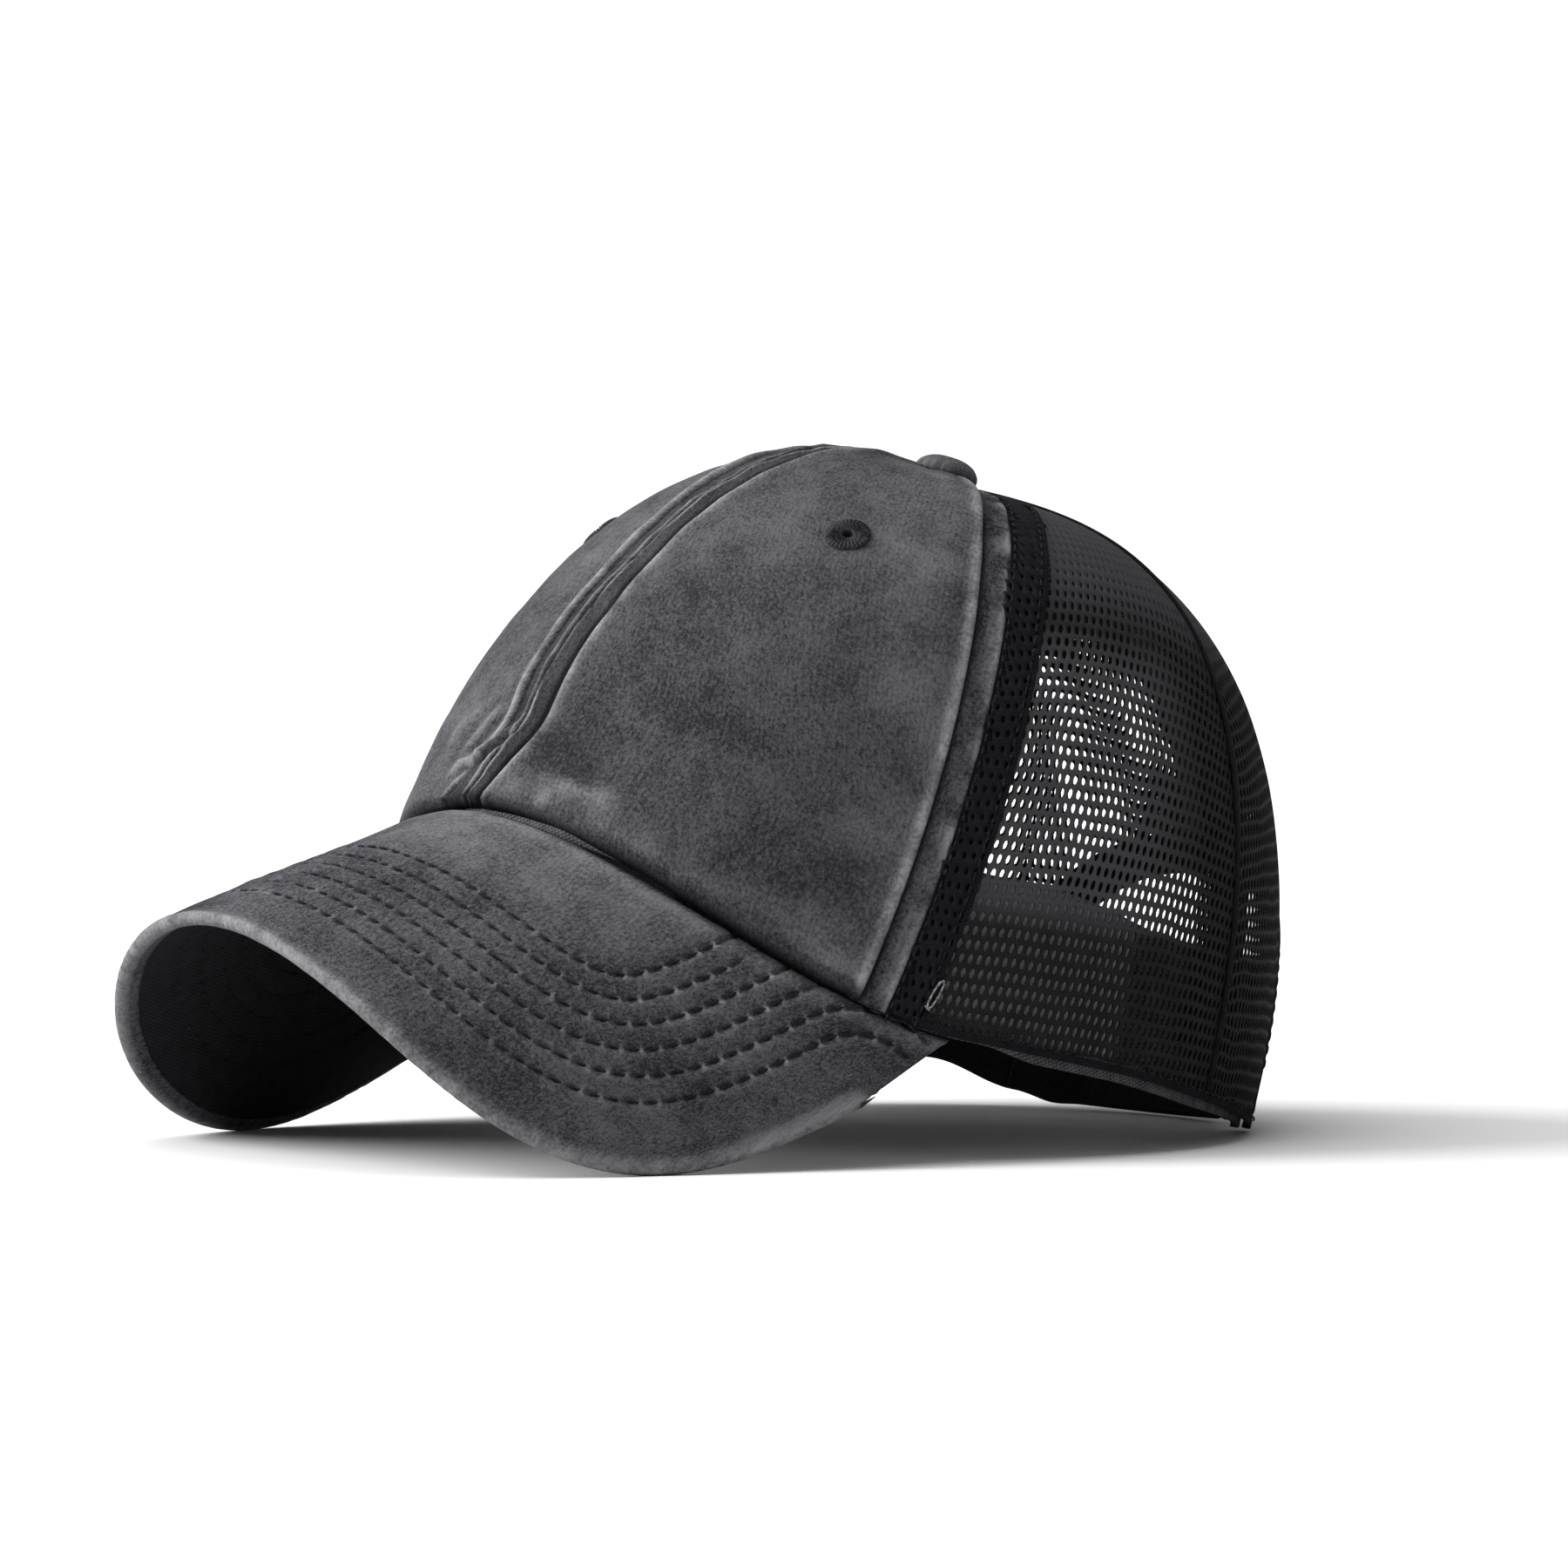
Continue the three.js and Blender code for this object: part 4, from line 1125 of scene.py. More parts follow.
def back_tape():
    # The back tape is painted pale as painted light.
    foot = (OPENING_HEIGHT + BINDING_WIDTH) / CROWN_HEIGHT
    return seam_tape("back", 1, 180.0, BACK_TAPE_WIDTH, foot, BACK_TAPE_PAINTED_LIGHT)


def opening_binding():
    """Turned edge round the back opening, with two rows of stitches."""

    def place(along, across):
        outside = BINDING_WIDTH * across
        side = np.where(along < 0.5, 1, -1)
        leg = np.where(side > 0, BINDING_LEG["left"], BINDING_LEG["right"])
        foot = hem_level(side * HEM_END_AZIMUTH) * CROWN_HEIGHT + PIECE_GAP
        start = np.arcsin((np.maximum(foot, 0) / (OPENING_HEIGHT + outside)) ** (OPENING_POWER / 2)) / math.pi
        from_end = np.minimum(along, 1 - along)
        near = mix(start, 0.5, np.clip((from_end - leg) / (0.5 - leg), 0, 1))
        x, z = arch_point(np.where(side > 0, near, 1 - near), outside)
        level = mix(z, foot, np.clip(1 - from_end / leg, 0, 1)) / CROWN_HEIGHT
        return back_azimuth(x, level), level

    def shape(along, across):
        azimuth, level = place(along, across)
        wide = across * BINDING_WIDTH
        roll = np.clip(1 - np.minimum(wide, BINDING_WIDTH - wide) / 0.9, 0, 1)
        depth = 0.55 * roll ** 2 + 0.25 * bell(wide - 1.6, 0.5) + 0.25 * bell(wide - 6.8, 0.5)
        depth += 0.12 * soft_noise(along * 180, wide, 4.0, 51)
        normal = crown_normal(azimuth, level)
        return skin(azimuth, level) - normal * depth[..., None], normal, 0.12 * bell(roll - 1, 0.5)

    mesh = sheet_mesh("back_binding", 200, 16, shape)
    piece = new_object("back_binding", mesh, TAPE_CLOTH)
    thicken(piece, 1.1)
    return sew_in(piece, "black_tape", "opening_binding")


def band_top(azimuth):
    fall = smoothstep(np.abs(azimuth), BAND_TOP["from"], BAND_TOP["to"])
    height = mix(BAND_TOP["front"], BAND_TOP["back"], fall)
    return join_level(azimuth) + (height - PEAK_END_RISE) / CROWN_HEIGHT


def band_foot(azimuth):
    front = 1 - smoothstep(np.abs(azimuth), BAND_FOOT["front"], BAND_FOOT["side"])
    back = smoothstep(np.abs(azimuth), PEAK_END_AZIMUTH + 1, BAND_FOOT["behind"])
    hang = BAND_FOOT["hang_front"] * front + BAND_FOOT["hang_back"] * back - BAND_FOOT["clear"]
    hang -= hem_corner(azimuth)
    return hem_level(azimuth) - hang / CROWN_HEIGHT


def sweatband():
    """Inner band: grey backing outside, painted paler at the sides as painted light, black cloth inside."""
    end = float(back_azimuth(OPENING_HALF_WIDTH, 0.0))

    def shape(along, up):
        azimuth = mix(-end, end, along)
        droop = BAND_DROOP["drop"] * smoothstep(-azimuth, BAND_DROOP["from"], BAND_DROOP["to"]) / CROWN_HEIGHT
        level = mix(band_foot(azimuth) - droop, band_top(azimuth), up)
        height = up * 34.0
        length = np.radians(azimuth) * 91
        ripple = 0.22 * soft_noise(length, height, 9.0, 61) + 0.3 * bell(height - 32.6, 0.9)
        depth = BAND_DEPTH - ripple + 0.35 * bell(height - 31, 0.5) + 0.3 * bell(height - 2.2, 0.6)
        normal = crown_normal(azimuth, level)
        # Painted light on the outer face at the sides, where light comes in through the net.
        lit = (1 - smoothstep(np.abs(azimuth), 97.5, 99.5)) * smoothstep(up, 0.1, 0.16)
        return skin(azimuth, level) - normal * depth[..., None], normal, lit

    mesh = sheet_mesh("inner_band", 320, 24, shape)
    piece = new_object("inner_band", mesh, BAND_CLOTH, BLACK_TWILL)
    thicken(piece, BAND_WALL * 0.9, inner_material=1)
    return sew_in(piece, "black_cloth", "sweatband")


def strap(side):
    """Back strap half that laps over the other one behind the head."""
    label = side_name(side)
    end = OPENING_HALF_WIDTH - PIECE_GAP
    overlap_depth = BAND_DEPTH if side > 0 else STRAP_OUTER_DEPTH - PIECE_GAP
    rise = 0.0 if side > 0 else 1.2

    def shape(along, up):
        x = side * mix(end, -STRAP_OVERLAP, along)
        round_end = 5.0 * np.clip((along - 0.93) / 0.07, 0, 1) ** 2
        foot = STRAP_FOOT + rise * (1 - smoothstep(along, 0.0, 0.13)) - 0.5 * bell(along - 0.15, 0.05)
        level = mix(foot + round_end, STRAP_TOP - round_end, up) / CROWN_HEIGHT
        slide = smoothstep(along, 0.06, 0.26)
        wide = up * (STRAP_TOP - STRAP_FOOT)
        edge = np.minimum(wide, STRAP_TOP - STRAP_FOOT - wide)
        depth = mix(BAND_DEPTH, overlap_depth, slide)
        depth = depth + 0.35 * np.clip(1 - edge / 0.8, 0, 1) ** 2 + 0.22 * bell(edge - 1.8, 0.45)
        azimuth = back_azimuth(x, level)
        normal = crown_normal(azimuth, level)
        return skin(azimuth, level) - normal * depth[..., None], normal, 0.0

    mesh = sheet_mesh(f"back_strap_{label}", 90, 26, shape)
    piece = new_object(f"back_strap_{label}", mesh, BLACK_TWILL)
    thicken(piece, STRAP_WALL * 0.85)
    return sew_in(piece, "black_cloth", f"strap_{label}")


# Peak


def sheet_point(turn, reach):
    """Point of the curved sheet that the peak is bent from."""
    fall = PEAK_ARCH * (1 - np.cos(turn))
    return np.stack((
        PEAK_HALF_WIDTH * np.sin(turn),
        -RIM_HALF_LENGTH - reach * math.cos(PEAK_PITCH) + fall * math.sin(PEAK_PITCH),
        PEAK_FRONT_RISE - reach * math.sin(PEAK_PITCH) - fall * math.cos(PEAK_PITCH),
    ), axis=-1)


def peak_edge(round_turn, side):
    """Outer edge of the peak: 0 at its end on the crown and 90 at the middle of the front."""
    end_rim = smooth_crown(PEAK_END_AZIMUTH, 0.0)
    end_fall = PEAK_ARCH * (1 - math.cos(PEAK_END_TURN))
    end_reach = (-RIM_HALF_LENGTH + end_fall * math.sin(PEAK_PITCH) - end_rim[1]) / math.cos(PEAK_PITCH)
    angle = np.radians(round_turn)
    narrow = np.maximum(np.cos(angle), 0) ** PEAK_SIDE_POWER
    trim = 1 + PEAK_CORNER_TRIM * np.sin(2 * angle) ** 2
    reach = mix(end_reach, PEAK_LENGTH, np.maximum(np.sin(angle), 0) ** PEAK_FRONT_POWER)
    point = sheet_point(PEAK_END_TURN * narrow * trim, reach)
    tip = skin(PEAK_END_AZIMUTH, join_level(PEAK_END_AZIMUTH))
    pull = tip - sheet_point(np.array(PEAK_END_TURN), end_reach)
    point = point + pull * ((1 - np.sin(angle)) ** 2)[..., None]
    point[..., 0] *= side
    return point


def peak_root(edge):
    """Where the ruling that ends at an edge point starts on the crown."""
    widest = peak_edge(np.array(0.0), 1)[0]
    share = np.clip(edge[..., 0] / widest, -1, 1) * math.sin(math.radians(PEAK_END_AZIMUTH))
    azimuth = np.degrees(np.arcsin(share))
    return skin(azimuth, join_level(azimuth))


def peak_skin(across, out):
    """Points of the peak's top skin: across runs from end to end, out from root to edge."""
    side = np.where(across < 0.5, -1.0, 1.0)
    share = (1 - np.abs(2 * across - 1)) ** PEAK_COLUMN_EASE
    edge = peak_edge(mix(PEAK_END_ROUND, 90.0, share), side)
    return mix(peak_root(edge), edge, np.asarray(out)[..., None])


def peak_normal(across, out):
    step = 0.01
    inner = np.clip(across, 2 * step, 1 - 2 * step)
    along = peak_skin(inner + step, out) - peak_skin(inner - step, out)
    outward = peak_skin(inner, np.ones_like(out)) - peak_skin(inner, np.zeros_like(out))
    return unit(np.cross(outward, along))


def edge_inset(points):
    """Distance of points on the peak from its outer edge."""
    rim = peak_skin(np.linspace(0, 1, 700), np.ones(700))
    near = np.empty(points.shape[:-1])
    for row in range(len(points)):
        near[row] = np.linalg.norm(points[row][:, None] - rim[None], axis=-1).min(axis=1)
    return near


def row_insets():
    return [PEAK_STITCH_INSET + PEAK_STITCH_SPACING * row for row in range(PEAK_STITCH_ROWS)]


def peak_row_paths():
    """Stitch rows of the peak, as lists of places across and out at equal inset from the edge."""
    across = np.linspace(0.01, 0.99, 491)
    out = np.linspace(0, 1, 161)
    grid_across, grid_out = np.meshgrid(across, out)
    inset = edge_inset(peak_skin(grid_across, grid_out))
    paths = []
    for target in row_insets():
        route = []
        for column in range(len(across)):
            falling = inset[:, column]
            if falling.max() < target + 0.2:
                continue
            first = int(np.argmax(falling))
            reach = np.interp(-target, -falling[first:], out[first:])
            route.append((across[column], reach))
        paths.append(np.array(route))
    return paths


def path_lengths(points):
    return np.concatenate(((0,), np.cumsum(np.linalg.norm(np.diff(points, axis=0), axis=-1))))


def place_along(points, line):
    """Length along a sewn line to where it passes nearest to each of some points."""
    lengths = path_lengths(line)
    where = np.arange(0, lengths[-1], 0.35)
    even = np.stack([np.interp(where, lengths, line[:, axis]) for axis in range(3)], axis=-1)
    place = np.empty(points.shape[:-1])
    for row in range(len(points)):
        place[row] = where[np.linalg.norm(points[row][:, None] - even[None], axis=-1).argmin(axis=1)]
    return place


def peak_rows_relief(points, across):
    """Groove, pucker and painted tone of the peak's stitch rows at points of its skin: pale puckers, painted
    shade in the grooves.
    """
    inset = edge_inset(points)
    relief = np.zeros_like(inset)
    wear_and_painted_light = np.zeros_like(inset)
    for row, (target, route) in enumerate(zip(row_insets(), PEAK_ROWS)):
        place = place_along(points, peak_skin(route[:, 0], route[:, 1]))
        beyond = (across < route[0, 0] - 0.004) | (across > route[-1, 0] + 0.004)
        step = (place / PEAK_STITCH_PITCH + PEAK_STITCH_SHIFT * row) % 1.0
        between = bell(np.minimum(step, 1 - step), 0.16)
        uneven = 0.5 + 0.5 * soft_noise(place, inset * 0 + row * 3.7, 3.0, 70)
        groove = bell(inset - target, 0.62) * (1 - 0.8 * between)
        knot = bell(inset - target + 0.25, 0.85) * between
        relief += np.where(beyond, 0, 0.28 * knot * uneven - 0.75 * groove)
        lip = bell(inset - target + 1.3, 0.8) * (0.5 + 0.5 * soft_noise(place, inset, 4.0, 72))
        # Pale puckers and lip, and painted shade in the groove.
        wear_and_painted_light += np.where(beyond, 0, 0.85 * knot * uneven + 0.16 * lip - 0.6 * groove)
        plump = bell(inset - target - PEAK_STITCH_SPACING / 2, 1.9)
        relief += np.where(beyond, 0, 0.22 * plump * (0.6 + 0.8 * soft_noise(place, inset, 5.0, 71)))
    return relief, wear_and_painted_light


def peak_top():
    """Cotton top of the peak, wrapped round its edge and turned in under it."""
    columns, rows = 360, 116
    edge_rows, turn_in_rows = 12, 4
    flat_rows = rows - edge_rows - turn_in_rows

    def shape(along, up):
        row = np.round(up * rows)
        ends = skin_length(along)
        radius = np.minimum(PEAK_EDGE_RADIUS, ends * 0.2)
        flat = np.clip(row / flat_rows, 0, 1)
        angle = np.clip((row - flat_rows) / edge_rows, 0, 1) * math.pi
        inward = np.clip((row - flat_rows - edge_rows) / turn_in_rows, 0, 1) * np.minimum(3.2, ends * 0.2)
        reach = flat * (ends - radius) + radius * np.sin(angle) - inward
        depth = radius * (1 - np.cos(angle))
        out = np.clip(reach / ends, 0, 1)
        points = peak_skin(along, out)
        normal = peak_normal(along, out)
        inset = edge_inset(points)
        relief, wear_and_painted_light = peak_rows_relief(points, along)
        relief += 0.3 * soft_noise(points[..., 0], points[..., 1], 26.0, 81)
        relief += 0.09 * soft_noise(points[..., 0], points[..., 1], 6.0, 82)
        relief -= 0.3 * bell(inset - 3.6, 1.0)
        relief -= 1.0 * bell(reach, 1.3)
        top_side = (row <= flat_rows) * 1.0
        around = (row > flat_rows) & (row <= flat_rows + edge_rows)
        fray = soft_noise(along * 700, inset, 2.6, 83)
        wear_and_painted_light = wear_and_painted_light + (0.48 + 0.22 * fray) * bell(np.maximum(inset - 0.6, 0), 2.2) * top_side
        wear_and_painted_light = wear_and_painted_light + around * (0.5 + 0.2 * fray) * np.clip(1.5 - angle / math.pi, 0, 1)
        wear_and_painted_light = wear_and_painted_light + 0.15 * smoothstep(inset, 43, 56) * top_side
        # Painted shade along the root, where the peak meets the crown.
        wear_and_painted_light = wear_and_painted_light - 0.6 * bell(reach, 1.0) * top_side
        wear_and_painted_light = wear_and_painted_light + 0.12 * bell(reach - 3.5, 2.0) * top_side
        lift = relief * top_side - depth + 0.1 * fray * around
        return points + normal * lift[..., None], normal, np.clip(wear_and_painted_light, -1, 1)

    mesh = sheet_mesh("peak_cloth", columns, rows, shape)
    piece = new_object("peak_cloth", mesh, PEAK_COTTON)
    thicken(piece, 0.5)
    return sew_in(piece, "washed_cotton", "peak")


def skin_length(across):
    """Length of the peak's ruling from the crown to its edge."""
    ones = np.ones_like(across)
    return np.linalg.norm(peak_skin(across, ones) - peak_skin(across, 0 * ones), axis=-1)


def peak_under():
    """Black cloth under the peak, with the same rows pressed into it."""

    def shape(along, up):
        across = mix(0.012, 0.988, along)
        ends = skin_length(across)
        out = mix(0.0, 1 - np.minimum(2.2 / ends, 0.25), up)
        points = peak_skin(across, out)
        normal = peak_normal(across, out)
        relief, _ = peak_rows_relief(points, across)
        puff = 0.25 * soft_noise(points[..., 0], points[..., 1], 24.0, 91)
        depth = PEAK_UNDER_DEPTH - 0.45 * np.clip(-relief, 0, 1) + puff * 0.4
        tuck = 0.7 * np.clip(1 - (1 - out) * ends / 3.0, 0, 1) ** 2
        return points - normal * (depth - tuck)[..., None], normal, 0.0

    mesh = sheet_mesh("peak_lining", 220, 56, shape)
    piece = new_object("peak_lining", mesh, BLACK_TWILL)
    thicken(piece, 0.55)
    return sew_in(piece, "black_cloth", "peak_underside")


# Button and eyelets


def turned_mesh(name, rows, steps, wobble):
    """Mesh of a profile of radius and height turned about the upright axis, in millimetres."""
    form = bmesh.new()
    verts = [form.verts.new((radius, 0, height)) for radius, height in rows]
    edges = [form.edges.new(pair) for pair in zip(verts, verts[1:])]
    bmesh.ops.spin(
        form, geom=verts + edges, cent=(0, 0, 0), axis=(0, 0, 1), angle=2 * math.pi, steps=steps,
        use_merge=True,
    )
    bmesh.ops.remove_doubles(form, verts=form.verts[:], dist=1e-4)
    bmesh.ops.recalc_face_normals(form, faces=form.faces[:])
    for vert in form.verts:
        vert.co.z += wobble(math.hypot(vert.co.x, vert.co.y), math.atan2(vert.co.y, vert.co.x))
    mesh = bpy.data.meshes.new(name)
    form.to_mesh(mesh)
    form.free()
    return mesh


def seat_mesh(mesh, foot, direction, wear_and_painted_light):
    """Sets a mesh that was made upright in millimetres on the crown, pointing along direction."""
    flat = np.zeros(len(mesh.vertices) * 3)
    mesh.vertices.foreach_get("co", flat)
    flat = flat.reshape(-1, 3)
    side = unit(np.cross(direction, (0.0, 0.0, 1.0)) + (1e-6, 0, 0))
    ahead = np.cross(direction, side)
    points = foot + flat[:, :1] * side + flat[:, 1:2] * ahead + flat[:, 2:] * direction
    mesh.vertices.foreach_set("co", to_row(points).astype(np.float32).ravel())
    set_cloth(mesh, flat[:, :2] * 0.001)
    set_painted(mesh, "wear_and_painted_light", np.full(len(mesh.vertices), wear_and_painted_light))
    mesh.update()


def top_button():
    """Button covered in cotton that is gathered under its rim."""
    rows = [(1.6, -3.4), (1.6, BUTTON_TUCK - 0.2), (BUTTON_RADIUS * 0.6, BUTTON_TUCK - 0.15)]
    rows += [(BUTTON_RADIUS * 0.9, BUTTON_TUCK)]
    for step in range(15):
        angle = math.pi / 2 * step / 14
        radius = BUTTON_RADIUS * max(math.cos(angle), 0) ** 0.8
        rows.append((radius if step < 14 else 0.0, BUTTON_FOOT + 0.5 + BUTTON_DOME * math.sin(angle)))

    def gather(radius, angle):
        rim = math.exp(-((radius - BUTTON_RADIUS) / 1.1) ** 2)
        return 0.12 * rim * math.cos(19 * angle) + 0.08 * math.sin(3 * angle) * radius / BUTTON_RADIUS

    mesh = turned_mesh("cloth_button", rows, 76, gather)
    lean = math.radians(BUTTON_LEAN)
    foot = np.array((0.0, TOP_SET_BACK - BUTTON_FORWARD, CROWN_HEIGHT + BUTTON_RISE))
    seat_mesh(mesh, foot, np.array((0.0, math.sin(lean), math.cos(lean))), 0.15)
    piece = new_object("cloth_button", mesh, COTTON)
    return sew_in(piece, "washed_cotton", "top_button")


def eyelet(side):
    """Vent hole with a ring of close stitches."""
    label = side_name(side)
    radius, bore, proud = EYELET["radius"], EYELET["bore"], EYELET["proud"]
    rows = [(bore, -COTTON_WALL), (bore, 0.1), (bore + 0.25, 0.42)]
    for step in range(9):
        share = step / 8
        rise = proud * math.sin(math.pi * (0.12 + 0.84 * share)) ** 0.8
        rows.append((mix(bore + 0.5, radius, share), 0.15 + rise))
    rows.append((radius + 0.1, -0.35))

    def overcast(where, angle):
        ring = smoothstep(where, bore + 0.2, bore + 0.8) * (1 - smoothstep(where, radius - 0.1, radius + 0.3))
        return 0.16 * float(ring) * math.cos(EYELET["stitches"] * angle)

    mesh = turned_mesh(f"stitched_eyelet_{label}", rows, EYELET["stitches"] * 6, overcast)
    azimuth, level = side * EYELET["azimuth"], EYELET_LEVEL[side]
    seat_mesh(mesh, skin(azimuth, level), crown_normal(azimuth, level), 0.0)
    piece = new_object(f"stitched_eyelet_{label}", mesh, EYELET_THREAD)
    return sew_in(piece, "dark_thread", f"eyelet_{label}")


# Stitches


def stitch_template():
    """One stitch: a short round-ended bar along x, one unit long and thick."""
    form = bmesh.new()
    bmesh.ops.create_uvsphere(form, u_segments=6, v_segments=5, radius=0.5)
    bmesh.ops.rotate(form, verts=form.verts[:], cent=(0, 0, 0), matrix=Matrix.Rotation(math.pi / 2, 3, "Y"))
    bmesh.ops.triangulate(form, faces=form.faces[:])
    points = np.array([vert.co for vert in form.verts])
    faces = np.array([[vert.index for vert in face.verts] for face in form.faces])
    form.free()
    return points, faces


def stitch_row(points, normals, pitch, length, radius=THREAD_RADIUS, start=0.0):
    """Centres, directions, normals and lengths of the stitches along a sewn line."""
    lengths = path_lengths(points)
    middles = np.arange(pitch * (0.5 + start), lengths[-1] - pitch * 0.3, pitch)

    def at(where, values):
        return np.stack([np.interp(where, lengths, values[:, axis]) for axis in range(3)], axis=-1)

    direction = unit(at(middles + length / 2, points) - at(middles - length / 2, points))
    normal = unit(at(middles, normals))
    return at(middles, points) + normal * (radius - THREAD_SINK), direction, normal, length, radius


def stitches(name, rows, material):
    """All the stitches of some rows as one mesh."""
    template, faces = stitch_template()
    chance = np.random.RandomState(17)
    points, corners = [], []
    total = 0
    for row in rows:
        centre, direction, normal, length, radius = row
        across = unit(np.cross(normal, direction))
        size = length * chance.uniform(0.88, 1.1, len(centre))
        lean = chance.uniform(-0.09, 0.09, len(centre))
        axis = unit(direction + across * lean[:, None])
        across = unit(np.cross(normal, axis))
        body = (
            centre[:, None] + template[None, :, :1] * (axis * size[:, None])[:, None]
            + template[None, :, 1:2] * across[:, None] * radius * 2
            + template[None, :, 2:] * normal[:, None] * radius * 2
        )
        count = len(centre)
        points.append(body.reshape(-1, 3))
        offsets = total + np.arange(count) * len(template)
        corners.append((faces[None] + offsets[:, None, None]).reshape(-1, 3))
        total += count * len(template)
    mesh = bpy.data.meshes.new(name)
    mesh.from_pydata(to_row(np.concatenate(points)), [], np.concatenate(corners).tolist())
    set_cloth(mesh, np.concatenate(points)[:, :2] * 0.001)
    set_painted(mesh, "wear_and_painted_light", np.zeros(total))
    mesh.update()
    return sew_in(new_object(name, mesh, material), "dark_thread")


def peak_stitches():
    """Six rows of stitches on the peak, on top and below."""
    top, below = [], []
    for row, route in enumerate(PEAK_ROWS):
        across, out = route[:, 0], route[:, 1]
        points = peak_skin(across, out)
        normal = peak_normal(across, out)
        start = 0.5 - PEAK_STITCH_SHIFT * row
        start -= math.floor(start)
        top.append(stitch_row(points - normal * 0.42, normal, PEAK_STITCH_PITCH, 2.9, start=start - 0.5))
        under = points - normal * (PEAK_UNDER_DEPTH + 0.35)
        below.append(stitch_row(under, -normal, PEAK_STITCH_PITCH, 2.6, start=start))
    stitches("peak_stitches", top, DARK_THREAD)
    stitches("peak_lining_stitches", below, BLACK_TWILL)


def crown_stitches():
    """Rows along the centre seam, the side seams and the mesh seams."""
    rows = []
    for side in (1, -1):

        def beside_centre(level):
            return side * centre_seam(level) + turn_of(seam_value(level, side_name(side)), 0.0, level)

        def behind_net_seam(level):
            return BACK_SIDE_SEAM + turn_of(1.3, BACK_SIDE_SEAM, level)

        band_rear = seam_line(STRIP_WIDTH + MESH_BAND_WIDTH - 0.9)
        lines = (
            {"line": beside_centre, "foot": 0.315, "depth": 0.75, "pitch": SEAM_STITCH_PITCH, "length": 2.6},
            {"line": seam_line(STRIP_WIDTH + 0.55), "foot": 0.02, "depth": 0.0, "pitch": 3.0, "length": 2.0},
            {"line": band_rear, "foot": 0.02, "depth": 0.0, "pitch": 3.0, "length": 2.0},
            {"line": behind_net_seam, "foot": 0.02, "depth": 0.5, "pitch": 3.2, "length": 2.2},
        )
        for row in lines:
            level = np.linspace(row["foot"], SEAM_STITCH_TOP, 260)
            azimuth = side * row["line"](level)
            points = skin(azimuth, level, row["depth"])
            rows.append(stitch_row(points, crown_normal(azimuth, level), row["pitch"], row["length"]))
    stitches("crown_stitches", rows, DARK_THREAD)


def hem_stitches():
    """Row along the hem and rows round the back opening."""
    rows = []
    for side in (1, -1):
        azimuth = side * np.linspace(80.0, 149.0, 200)
        level = hem_level(azimuth) + 2.0 / CROWN_HEIGHT
        rows.append(stitch_row(skin(azimuth, level, -0.1), crown_normal(azimuth, level), 3.0, 2.0))
    for outside in (1.6, 6.8):
        x, z = arch_point(np.linspace(0.02, 0.98, 300), outside)
        level = z / CROWN_HEIGHT
        azimuth = back_azimuth(x, level)
        rows.append(stitch_row(skin(azimuth, level, 0.25), crown_normal(azimuth, level), 3.0, 2.1))
    stitches("hem_stitches", rows, DARK_THREAD)


def band_tack():
    """Pale oval loop of thread that tacks the mesh band down near the hem."""
    centre_azimuth, centre_level = 70.45, 0.082
    angle = np.linspace(0, 2 * math.pi, 40)
    wide, high, slant = 0.7, 3.0, 0.3
    up = high * np.sin(angle)
    across = wide * np.cos(angle) + slant * up
    level = centre_level + up / CROWN_HEIGHT
    azimuth = centre_azimuth + turn_of(across, centre_azimuth, level)
    normal = crown_normal(azimuth, level)
    row = stitch_row(skin(azimuth, level, -0.45), normal, 0.8, 1.5, radius=0.24)
    stitches("band_tack", [row], PALE_THREAD)


# Stage


def floor():
    form = bmesh.new()
    bmesh.ops.create_grid(form, x_segments=1, y_segments=1, size=60.0)
    mesh = bpy.data.meshes.new("floor")
    form.to_mesh(mesh)
    form.free()
    finish = Finish("pale_floor", 0.9, 0.1)
    speck = finish.noise(finish.place(), 900.0)
    finish.colour(finish.dye(speck, (0.69, 0.69, 0.69), (0.71, 0.71, 0.71)))
    piece = new_object("floor", mesh, finish.material)


# The photo's view in degrees and millimetres, with zoom in its pixels a millimetre
SENSOR_WIDTH = 36.0
PICTURE_WIDTH = 1800
CAMERA = {"azimuth": 55.545, "height": 3.03, "distance": 3612.396, "right": -6.129, "up": 53.25, "zoom": 5.5}


def camera_axes():
    turn = math.radians(CAMERA["azimuth"])
    lift = math.radians(CAMERA["height"])
    right = np.array((math.cos(turn), math.sin(turn), 0.0))
    back = np.array((math.sin(turn) * math.cos(lift), -math.cos(turn) * math.cos(lift), math.sin(lift)))
    return right, np.cross(back, right), back


def set_axes(item, axes, place):
    """Turns an object so that its own axes point along three directions, and places it, in metres."""
    matrix = Matrix.Identity(4)
    for column, values in enumerate((*axes, place)):
        for row in range(3):
            matrix[row][column] = values[row]
    item.matrix_world = matrix


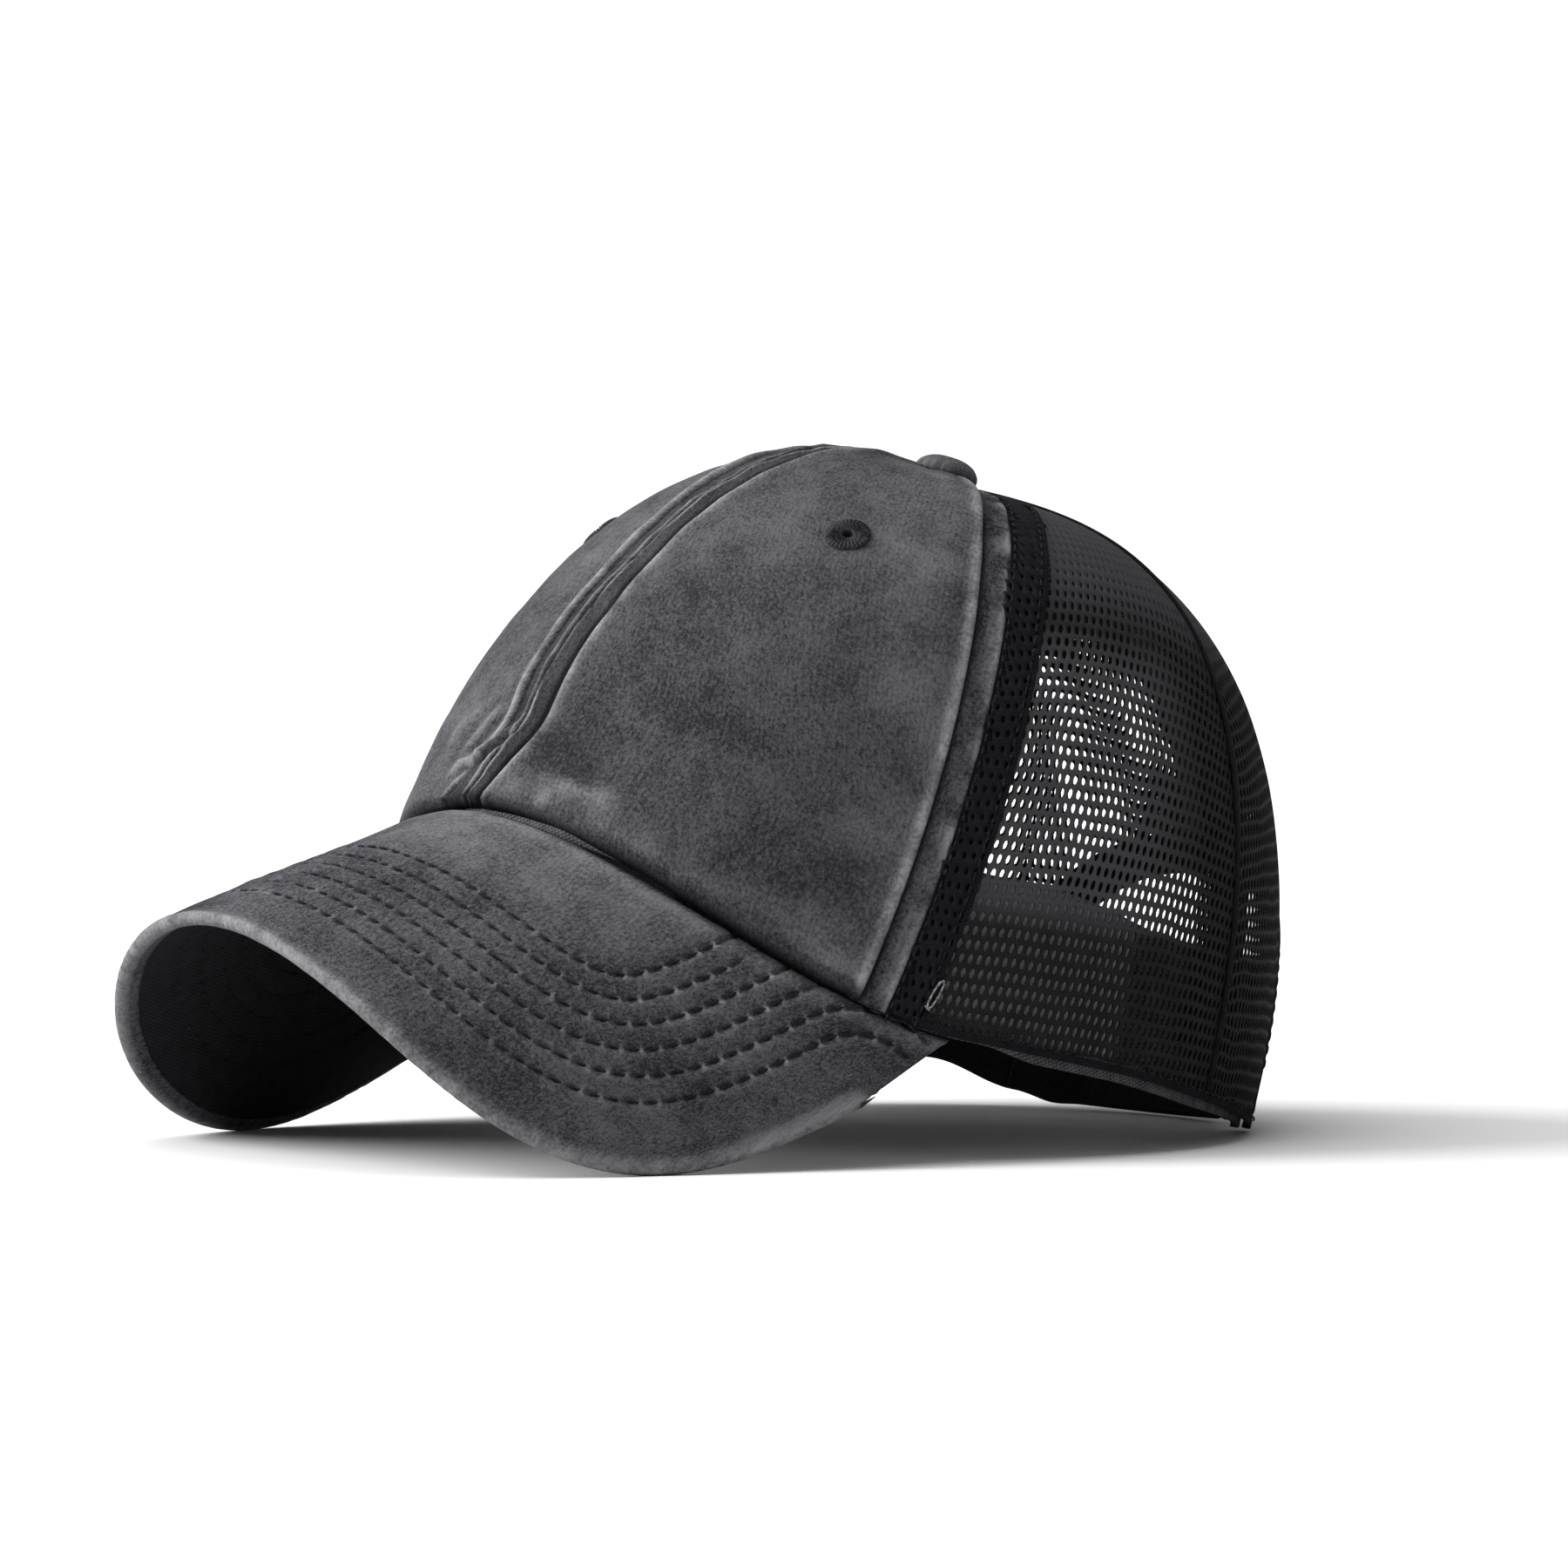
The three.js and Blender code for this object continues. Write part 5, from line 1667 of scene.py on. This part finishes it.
def camera():
    right, up, back = camera_axes()
    place = CAMERA["distance"] * back + CAMERA["right"] * right + CAMERA["up"] * up + REST_SHIFT
    data = bpy.data.cameras.new("camera")
    data.sensor_width = SENSOR_WIDTH
    data.lens = SENSOR_WIDTH * CAMERA["zoom"] * CAMERA["distance"] / PICTURE_WIDTH
    data.clip_end = 200.0
    view = bpy.data.objects.new("camera", data)
    bpy.context.scene.collection.objects.link(view)
    set_axes(view, (right, up, back), place * 0.001)
    bpy.context.scene.camera = view


def sun(name, direction, strength, spread):
    """Soft light from a direction, given as right, up and towards the camera in the view."""
    right, _, back = camera_axes()
    right, back = unit(np.array((right[0], right[1], 0))), unit(np.array((back[0], back[1], 0)))
    aim = unit(direction[0] * right + direction[1] * np.array((0, 0, 1.0)) + direction[2] * back)
    data = bpy.data.lights.new(name, "SUN")
    data.energy = strength
    data.angle = math.radians(spread)
    lamp = bpy.data.objects.new(name, data)
    bpy.context.scene.collection.objects.link(lamp)
    side = unit(np.cross((0.0, 0.0, 1.0), aim))
    set_axes(lamp, (side, np.cross(aim, side), aim), (0.0, 0.0, 0.0))


def studio():
    sun("key_light", (-0.85, 0.5, 0.0), 5.2, 45)
    sun("top_light", (-0.3, 1.0, 0.1), 2.4, 60)
    sun("front_light", (-0.5, 0.2, 0.85), 0.15, 100)
    world = bpy.data.worlds.new("studio")
    world.use_nodes = True
    world.node_tree.nodes["Background"].inputs["Color"].default_value = (1, 1, 1, 1)
    world.node_tree.nodes["Background"].inputs["Strength"].default_value = 0.3
    bpy.context.scene.world = world
    bpy.context.scene.view_settings.view_transform = "Standard"


PEAK_ROWS = peak_row_paths()

for panel_side in (1, -1):
    front_panel(panel_side)
    side_strip(panel_side)
    mesh_band(panel_side)
    side_net(panel_side)
    back_net(panel_side)
    strap(panel_side)
    eyelet(panel_side)
    side_tape(panel_side)
back_tape()
opening_binding()
sweatband()
peak_top()
peak_under()
top_button()
peak_stitches()
crown_stitches()
hem_stitches()
band_tack()
floor()
camera()
studio()
